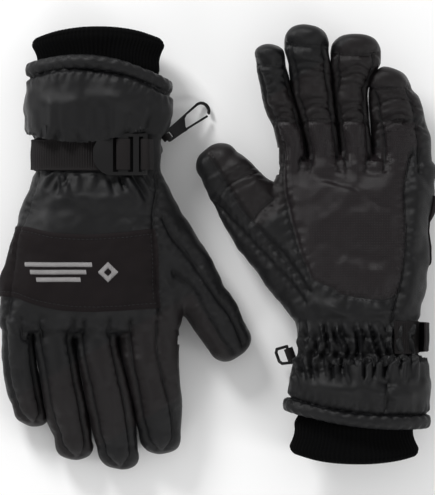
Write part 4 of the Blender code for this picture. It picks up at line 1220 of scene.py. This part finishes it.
BAND_LENGTH = 57  # along the hand
BAND_STEP = 1.2  # between the band's columns, across the hand
BAND_ROWS = 46
BAND_STITCH_ROWS, BAND_STITCH_COLUMN = (3, 42), 4


def build_band(shape, relief):
    """The softshell band over the knuckles, with a turned edge and two lines of stitches."""
    glove = shape.glove
    share = np.linspace(-0.80, 0.999, 90)
    angle = np.concatenate((share_angle(share), np.linspace(0, -0.12, 14)[1:]))
    share = np.concatenate((share, np.full(13, 0.999)))
    top, foot = edge_curve(BAND, share), edge_curve(BAND_FOOT, share)
    t = np.linspace(0, 1, BAND_ROWS)[:, None]
    y = top + (foot - top) * t
    inner = np.minimum(np.minimum(t, 1 - t) * BAND_LENGTH, from_ends(len(share)) * BAND_STEP)
    lift = 0.35 + 0.75 * smooth_step(inner, 0, 1.6) - 0.35 * np.exp(-((inner - 4.2) / 0.8) ** 2)
    grid, normals = around(shape, y, np.broadcast_to(angle, y.shape), lift, relief)
    band = slab(glove, "knuckle_panel", grid, "softshell", 1.0)
    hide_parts(f"{glove.side}_knuckle_band")
    follow(band, glove, None)
    parts = []
    runs = [(row, slice(2, -2)) for row in BAND_STITCH_ROWS] + [(slice(3, -3), BAND_STITCH_COLUMN)]
    for run in runs:
        parts += stitch_row(along_rows(grid[run]), along_rows(normals[run], grid[run]), 0.0)
    points, faces = merge(parts)
    follow(new_piece(glove, "knuckle_stitches", points, faces, "thread"), glove, None)


def along_rows(values, line=None):
    """Values resampled to equal steps of their line's length."""
    lengths = run_lengths(values if line is None else line)
    at = np.linspace(0, lengths[-1], max(4, int(lengths[-1] / SEAM_STEP)))
    return interpolated(at, lengths, values)


BADGE_X, BADGE_Y = 50.0, 82.0  # where the embroidery starts, and its middle line
BADGE_BARS = ((0, 46), (4, 42), (8, 38))  # start and end of each bar, from BADGE_X towards the thumb
BADGE_SHIFT = {"right": 0.0, "left": 9.0}
BADGE_ROW = 5.2
BADGE_BAR = 3.2
DIAMOND = 7.2
DIAMOND_HOLLOW = 2.8
DIAMOND_PLACE = 57.0
THREAD_PITCH = 0.5
THREAD_POINTS = 7
THREAD_RADIUS = 0.27


def badge_threads():
    """(start, end) places of every satin thread, in x and y of the glove's frame."""
    threads = []
    for row, (start, end) in enumerate(BADGE_BARS):
        y = BADGE_Y + (row - 1) * BADGE_ROW
        for x in np.arange(start, end, THREAD_PITCH):
            threads.append(((BADGE_X - x, y - BADGE_BAR / 2), (BADGE_X - x - 0.4, y + BADGE_BAR / 2)))
    for x in np.arange(-DIAMOND + 0.6, DIAMOND - 0.5, THREAD_PITCH):
        reach, hollow = DIAMOND - abs(x), DIAMOND_HOLLOW - abs(x)
        centre = BADGE_X - DIAMOND_PLACE + x
        if hollow > 0.4:
            threads.append(((centre, BADGE_Y - reach), (centre, BADGE_Y - hollow)))
            threads.append(((centre, BADGE_Y + hollow), (centre, BADGE_Y + reach)))
        else:
            threads.append(((centre, BADGE_Y - reach), (centre, BADGE_Y + reach)))
    return np.array(threads)


def build_embroidery(shape, relief):
    """A plain striped badge in satin stitch: long bars that shorten beside a small open diamond."""
    glove = shape.glove
    ends = badge_threads()
    t = np.linspace(0, 1, THREAD_POINTS)[None, :, None]
    plan = ends[:, :1] + (ends[:, 1:] - ends[:, :1]) * t
    plan[..., 0] -= BADGE_SHIFT[glove.side]
    points = shape.drop(plan.reshape(-1, 2), BACK)
    points, normals = on_relief(shape, relief, points, None, 1.05)
    crown = np.sin(np.linspace(0, np.pi, THREAD_POINTS)) ** 0.5
    lines = points.reshape(-1, THREAD_POINTS, 3)
    lines = lines + normals.reshape(-1, THREAD_POINTS, 3) * (0.45 * crown)[None, :, None]
    parts = [tube(line, THREAD_RADIUS * (0.55 + 0.45 * crown), THREAD_SIDES) for line in lines]
    points, faces = merge(parts)
    follow(new_piece(glove, "embroidery", points, faces, "embroidery"), glove, None)


DOT_PITCH = 1.75
DOT_RADIUS = 0.48
DOT_SINK, DOT_SHOULDER, DOT_TOP = 0.25, 0.28, 0.42  # heights of a dot's rings under and over the fabric
KNUCKLE_LINE = 124


def build_grip(shape, relief):
    """Rows of small rubber dots over the palm's grip panel and the fingers' first joints."""
    glove = shape.glove
    xs, ys = np.meshgrid(np.arange(-62, 56, DOT_PITCH), np.arange(26, 150, DOT_PITCH))
    plan = np.column_stack((xs.ravel(), ys.ravel()))
    on_fingers = plan[:, 1] >= KNUCKLE_LINE + CUT
    groups = {None: plan[~on_fingers], **{finger: plan[on_fingers] for finger in LONG_FINGERS}}
    for limb, places in groups.items():
        if limb is None:
            points = shape.drop(places, PALM)
            normals = shape.normal(points)
        else:
            finger = shape.limbs[limb]
            offset = places - finger.base[:2]
            s, u = offset @ finger.along[:2], offset @ finger.across[:2]
            u0, _, wide, _ = finger.section(s)
            share = (u - u0) / wide
            keep = (np.abs(share) < EDGE_SHARE - 0.06) & (s < 26)
            angle = np.arccos(np.clip(share[keep], -1, 1)) * glove.up(PALM)
            points = finger.at(s[keep], angle)
            normals = limb_normals(finger, points)
        inside = grip_mask(shape, points, normals, limb) > 0.97
        points, normals = points[inside], normals[inside]
        if len(points) < 3:
            continue
        made = points + normals * relief.height(points, normals, limb)[:, None]
        dots = [dome(p, n) for p, n in zip(made, normals)]
        all_points, faces = merge(dots)
        name = "palm_grip_dots" if limb is None else f"{limb}_grip_dots"
        piece = new_piece(glove, name, all_points, faces, "grip")
        if limb is None:
            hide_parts(f"{glove.side}_palm_grip")
        follow(piece, glove, shape.limbs[limb] if limb else None)


def dome(point, normal):
    """A low round dot, closed underneath."""
    side = np.cross(normal, (0.3, 1.0, 0.1))
    side /= np.linalg.norm(side)
    other = np.cross(normal, side)
    turn = np.arange(6) * np.pi / 3
    ring = np.cos(turn)[:, None] * side + np.sin(turn)[:, None] * other
    points = np.concatenate([point + ring * DOT_RADIUS - normal * DOT_SINK,
                             point + ring * DOT_RADIUS * 0.7 + normal * DOT_SHOULDER,
                             [point + normal * DOT_TOP]])
    faces = [(5, 4, 3, 2, 1, 0)]
    for i in range(6):
        j = (i + 1) % 6
        faces += [(i, j, 6 + j, 6 + i), (6 + i, 6 + j, 12)]
    return points, faces


class Sleeve:
    """A sleeve's section along y, read from a CAD node: side edges, lowest and highest line."""

    def __init__(self, glove, part, marks):
        node = glove.node(part)
        rows = []
        for y in marks:
            hit = cut_points([node], np.array((0.0, float(y), 0.0)), np.array((0.0, 1.0, 0.0)))
            rows.append((y, hit[:, 0].min(), hit[:, 0].max(), hit[:, 2].min(), hit[:, 2].max()))
        self.y, *self.rows = np.array(rows).T

    def ring(self, y, angle, inset=0.0):
        radial, ulnar, low, high = (curve(y, self.y, row) for row in self.rows)
        c, s = np.cos(angle), np.sin(angle)
        power = 2 / BODY_POWER
        x = (radial + ulnar) / 2 + ((ulnar - radial) / 2 - inset) * np.sign(c) * np.abs(c) ** power
        z = (low + high) / 2 + ((high - low) / 2 - inset) * np.sign(s) * np.abs(s) ** power
        return x, z


class BodySleeve(Sleeve):
    """The gauntlet's own section, as a sleeve."""

    def __init__(self, body):
        self.y, self.rows = body.y, (body.radial, body.ulnar, body.low, body.high)


KNIT_RIM = -77.6
KNIT_NECK = {"right": 1.6, "left": 3.6}
KNIT_BOW = {"right": 11.0, "left": 10.0}
KNIT_WALL = 3.6
KNIT_MARKS = (-34, -44, -54, -62)
KNIT_FLARE = 2.2
KNIT_RING = -58.0  # y of the ring whose points are spaced evenly
RIB_PITCH = 2.3
RIB_DEPTH = 0.34


def grown_ring(x, y, z, out):
    """A ring's points, moved away from its middle."""
    cx, cz = x.mean(), z.mean()
    grow = 1 + out / np.hypot(x - cx, z - cz)
    return np.column_stack((cx + (x - cx) * grow, y, cz + (z - cz) * grow))


def knit_share(y):
    """0 where the knit leaves the gauntlet, 1 at its rim."""
    return np.clip((y + 40) / (KNIT_RIM + 40), 0, 1)


def knit_bow(side, x, y):
    """How far the knit's middle hangs back from its sides."""
    return -KNIT_BOW[side] * knit_share(y) * np.clip(1 - (x / 45.0) ** 2, 0, 1)


def even_angles(sleeve, y, count):
    """Section angles that space points evenly round a ring."""
    fine = np.linspace(0, 2 * np.pi, 2000)
    x, z = sleeve.ring(np.full(2000, y), fine)
    lengths = np.concatenate(([0], np.cumsum(np.hypot(np.diff(x), np.diff(z)))))
    return np.interp(np.linspace(0, lengths[-1], count, endpoint=False), lengths, fine), lengths[-1]


def build_knit(shape):
    """The ribbed knit cuff: up from inside the gauntlet, over a rolled rim and back down inside."""
    glove = shape.glove
    sleeve = Sleeve(glove, "knit_cuff", KNIT_MARKS)
    around_count = 4 * int(240 / RIB_PITCH)
    angle, length = even_angles(sleeve, KNIT_RING, around_count)
    arc = np.arange(around_count) / around_count
    ribs = int(length / RIB_PITCH)
    radius = KNIT_WALL / 2
    outer = [(y, 0.0, 1.0) for y in np.linspace(-40, KNIT_RIM + radius, 26)]
    roll = [(KNIT_RIM + radius - radius * 1.5 * math.sin(t), radius - radius * 1.25 * math.cos(t), 1.0)
            for t in np.linspace(0.15, math.pi - 0.1, 9)]
    inner = [(y, KNIT_WALL, 0.6) for y in np.linspace(KNIT_RIM + radius + 1, -40, 16)]
    rings = []
    for y, inset, ribbed in outer + roll + inner:
        wave = RIB_DEPTH * ribbed * np.cos(2 * np.pi * ribs * arc)
        x, z = sleeve.ring(np.full(around_count, max(y, -70.0)), angle, inset)
        neck = KNIT_NECK[glove.side] * smooth_step(np.array(-y), 50, 60)
        rim = 1.8 * math.exp(-((y - KNIT_RIM - 3.5) / 3.2) ** 2)
        bulge = 1.2 + neck + KNIT_FLARE * knit_share(y) ** 2 + 0.5 * math.sin(y / 2.4) + rim
        sag = noise_field(np.column_stack((x, np.full(len(x), y), z)), 14.0, 21.0) * 0.9
        rings.append(grown_ring(x, y + knit_bow(glove.side, x, y), z, wave + bulge + sag))
    rows, points = len(rings), np.concatenate(rings)
    knit = new_piece(glove, "knit_cuff_ribbed", points,
                     grid_faces(rows, around_count, wrap=True, loop=True), "knit")
    outward_faces(knit)
    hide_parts(f"{glove.side}_knit_cuff")
    follow(knit, glove, None)


def outward_faces(piece):
    bm = bmesh.new()
    bm.from_mesh(piece.data)
    bmesh.ops.recalc_face_normals(bm, faces=bm.faces)
    bm.to_mesh(piece.data)
    bm.free()


HEM_INSET = 1.4
HEM_RING = -57.0  # y of the gauntlet's section that the hem follows
HEM_POINTS = 260
HEM_PUCKER = 7.5


def build_hem(shape):
    """The gauntlet's turned hem: a soft padded roll round the opening, puckered at its seam."""
    glove = shape.glove
    sleeve = BodySleeve(shape.body)
    count = HEM_POINTS
    angle, length = even_angles(sleeve, HEM_RING, count)
    arc = np.arange(count) / count * length
    profile = []
    for t in np.linspace(0, 1, 13):
        profile.append((t * HEM_DEPTH, 3.8 * math.sin(math.pi * t) ** 0.5 - 0.4))
    for t in np.linspace(0.1, 1, 8):
        profile.append((HEM_DEPTH - t * (HEM_DEPTH - 1.5) + 0.8 * math.sin(math.pi * t),
                        -0.6 - 4.0 * math.sin(t * math.pi / 2)))
    rings = []
    for down, out in profile:
        x, z = sleeve.ring(np.full(count, HEM_RING), angle, HEM_INSET)
        y = hem_line(glove, x) - down
        soft = noise_field(np.column_stack((x, y, z)), 11.0, 31.0) * 1.1
        pucker = 0.8 * np.sin(arc * 2 * np.pi / HEM_PUCKER + 2.0 * np.sin(arc / 23.0))
        pucker = pucker * math.cos(down / HEM_DEPTH * math.pi) ** 2
        rings.append(grown_ring(x, y, z, out + (soft + pucker) * (1 if out > -0.7 else 0)))
    hem = new_piece(glove, "hem_roll", np.concatenate(rings),
                    grid_faces(len(rings), count, wrap=True, loop=True), "shell")
    outward_faces(hem)
    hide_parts(f"{glove.side}_hem_binding")
    follow(hem, glove, None)


def build_lining(shape):
    """The fleece lining, from inside the knit cuff to the palm: an open pocket."""
    glove = shape.glove
    sleeve = Sleeve(glove, "knit_cuff", KNIT_MARKS)
    count = 120
    angle, _ = even_angles(sleeve, KNIT_RING, count)
    rings = []
    walls = [(y, 4.4) for y in np.linspace(-76, 40, 24)]
    walls += [(40 + 12 * math.sin(t), 4.4 + 9 * (1 - math.cos(t))) for t in np.linspace(0.2, 1.5, 7)]
    walls += [(y, inset + 1.8) for y, inset in walls[::-1]]
    for y, inset in walls:
        x, z = sleeve.ring(np.full(count, np.clip(y, -62.0, -34.0)), angle, inset)
        fuzz = noise_field(np.column_stack((x, np.full(count, y), z)), 5.0, 41.0) * 0.4
        narrow = np.clip((y + 20) / 60, 0, 1)
        cx, cz = x.mean(), z.mean()
        grow = 1 + fuzz / 30 - 0.12 * narrow
        y = y + knit_bow(glove.side, x, y)
        rings.append(np.column_stack((cx + (x - cx) * grow, y, cz + (z - cz) * grow)))
    half = len(rings) // 2
    points = np.concatenate(rings)
    rows = len(rings)
    faces = grid_faces(half, count, wrap=True)
    faces += [tuple(i + half * count for i in face) for face in grid_faces(rows - half, count, wrap=True)]
    faces.append(tuple((half - 1) * count + j for j in range(count)))
    faces.append(tuple(half * count + j for j in range(count))[::-1])
    mouth = (rows - 1) * count
    faces += [(mouth + j, mouth + (j + 1) % count, (j + 1) % count, j) for j in range(count)]
    lining = new_piece(glove, "fleece_lining", points, faces, "fleece")
    outward_faces(lining)
    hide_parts(f"{glove.side}_hand_liner")
    follow(lining, glove, None)


STRAP_HALF = 11.4
STRAP_START, STRAP_END = math.radians(-58), math.radians(112)
STRAP_LIFT = 1.5
TAIL_LIFT = 2.9
WEB_WALL = 1.3
# How far the strap's free end stands off at each of TAIL_ANGLES.
TAIL_ANGLES = np.radians((-22.5, -7.5, 7.5, 22.5, 97.5))
TAIL_STAND = {"right": (1.6, 1.2, 0.8, 0.4, 0.0), "left": (7.5, 6.0, 2.2, 0.5, 0.0)}
STRAP_SAMPLES = 200
RIB = 1.75


def webbing(shape, name, angles, half, lift, bows=None):
    """A woven strap round the wrist, ribbed across, with firmer edges."""
    glove = shape.glove
    line, _ = around(shape, 0.0, angles)
    lengths = run_lengths(line)
    count = int(lengths[-1] / RIB * 4)
    at = np.linspace(0, lengths[-1], count)
    angle = np.interp(at, lengths, angles)
    across = np.linspace(-1, 1, 15)
    rib = 0.24 * np.cos(2 * np.pi * at / RIB)
    selvedge = np.where(np.abs(across) > 0.9, 0.22, 0.0)
    height = lift + rib[None, :] * (np.abs(across) < 0.86)[:, None] + selvedge[:, None]
    if bows is not None:
        height = height + np.interp(angle, *bows)[None, :]
    y = across[:, None] * half * np.ones(count)[None, :]
    grid, _ = around(shape, y, np.broadcast_to(angle, y.shape), height)
    return slab(glove, name, grid, "webbing", WEB_WALL)


def build_straps(shape):
    glove = shape.glove
    strap = webbing(shape, "strap_webbing", np.linspace(STRAP_START, STRAP_END, STRAP_SAMPLES), STRAP_HALF,
                    STRAP_LIFT)
    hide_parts(f"{glove.side}_wrist_strap")
    follow(strap, glove, None)
    angles = np.linspace(TAIL_ANGLES[0], TAIL_ANGLES[-1], STRAP_SAMPLES)
    tail = webbing(shape, "strap_tail_webbing", angles, STRAP_HALF - 0.5, TAIL_LIFT,
                   (TAIL_ANGLES, TAIL_STAND[glove.side]))
    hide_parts(f"{glove.side}_strap_tail")
    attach(tail, f"{glove.side}_strap_end")


def refine(name, body, finish, bevel, segments=3):
    """A CAD node's shape with its flat faces cleaned up and every sharp edge rounded."""
    node = frame["nodes"][name]
    mesh = node.data.copy()
    mesh.transform(node.matrix_world)
    mesh.materials.clear()
    piece = bpy.data.objects.new(f"{name}_moulded", mesh)
    bpy.context.scene.collection.objects.link(piece)
    mesh.materials.append(material(finish))
    bm = bmesh.new()
    bm.from_mesh(mesh)
    bmesh.ops.remove_doubles(bm, verts=bm.verts, dist=0.00001)
    bmesh.ops.dissolve_limit(bm, angle_limit=math.radians(1.5), verts=bm.verts, edges=bm.edges)
    bm.to_mesh(mesh)
    bm.free()
    rounding = piece.modifiers.new("rounding", "BEVEL")
    rounding.width = bevel * MM
    rounding.segments = segments
    rounding.limit_method = "ANGLE"
    rounding.angle_limit = math.radians(32)
    rounding.harden_normals = False
    apply_modifiers(piece)
    mesh.shade_smooth()
    mesh.set_sharp_from_angle(angle=math.radians(35))
    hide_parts(name)
    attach(piece, body)
    return piece


def build_hardware(side):
    refine(f"{side}_buckle", f"{side}_buckle", "plastic", 0.5)
    refine(f"{side}_strap_turn", f"{side}_buckle", "webbing", 0.35)
    refine(f"{side}_buckle_anchor", f"{side}_hand", "webbing", 0.3)
    refine(f"{side}_clip_loop", f"{side}_hand", "webbing", 0.3)
    if side == "right":
        refine("right_clip_hook", "right_clip_hook", "plastic", 0.4)
        refine("right_clip_gate", "right_clip_gate", "plastic", 0.25, 2)
    else:
        refine("left_clip_ring", "left_clip_ring", "plastic", 0.3)


# ---------------------------------------------------------------- set

FLOOR_SIZE = 6
FLOOR_DROP = 0.0005
PAPER = (0.93, 0.93, 0.93, 1)
SKY = 0.62
LAMPS = (  # name, place, size and power
    ("key", (-0.6, 0.95, 0.7), 0.35, 12),
    ("side", (1.0, -0.5, 0.6), 0.4, 4),
    ("rim", (-0.5, -1.0, 0.5), 0.4, 2),
)
VIEW_HEIGHT = 346.5
VIEW_X, VIEW_Y = -0.3, -0.7
LENS, SENSOR = 400, 24


def build_set():
    scene = bpy.context.scene
    low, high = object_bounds()
    middle = (Vector(low) + Vector(high)) / 2
    bpy.ops.mesh.primitive_plane_add(size=FLOOR_SIZE, location=(0, 0, -FLOOR_DROP))
    floor = bpy.context.object
    floor.name = "floor"
    paper = bpy.data.materials.new("paper")
    paper.use_nodes = True
    sheet = paper.node_tree.nodes["Principled BSDF"]
    sheet.inputs["Base Color"].default_value = PAPER
    sheet.inputs["Roughness"].default_value = 0.9
    floor.data.materials.append(paper)
    world = bpy.data.worlds.new("studio")
    world.use_nodes = True
    sky = world.node_tree.nodes["Background"]
    sky.inputs[0].default_value = (1, 1, 1, 1)
    sky.inputs[1].default_value = SKY
    scene.world = world
    scene.view_settings.view_transform = "Standard"
    for name, place, size, power in LAMPS:
        light = bpy.data.lights.new(name, "AREA")
        light.energy, light.size = power, size
        lamp = bpy.data.objects.new(name, light)
        lamp.location = place
        lamp.rotation_euler = (middle - Vector(place)).to_track_quat("-Z", "Y").to_euler()
        scene.collection.objects.link(lamp)
    camera = bpy.data.objects.new("camera", bpy.data.cameras.new("camera"))
    camera.data.lens = LENS
    camera.data.sensor_fit = "VERTICAL"
    camera.data.sensor_height = SENSOR
    distance = VIEW_HEIGHT * MM * LENS / SENSOR
    camera.location = (VIEW_X * MM, VIEW_Y * MM, distance + 0.03)
    camera.data.clip_end = 20
    scene.collection.objects.link(camera)
    scene.camera = camera


def build_glove(side):
    glove = Glove(side)
    shape = Shape(glove)
    seams = Seams(shape)
    relief = Relief(shape, seams)
    build_skins(shape, relief)
    build_seam_trims(shape, seams, relief)
    build_band(shape, relief)
    build_embroidery(shape, relief)
    build_grip(shape, relief)
    build_knit(shape)
    build_hem(shape)
    build_lining(shape)
    build_straps(shape)
    build_hardware(side)


for side in ("right", "left"):
    build_glove(side)
build_set()
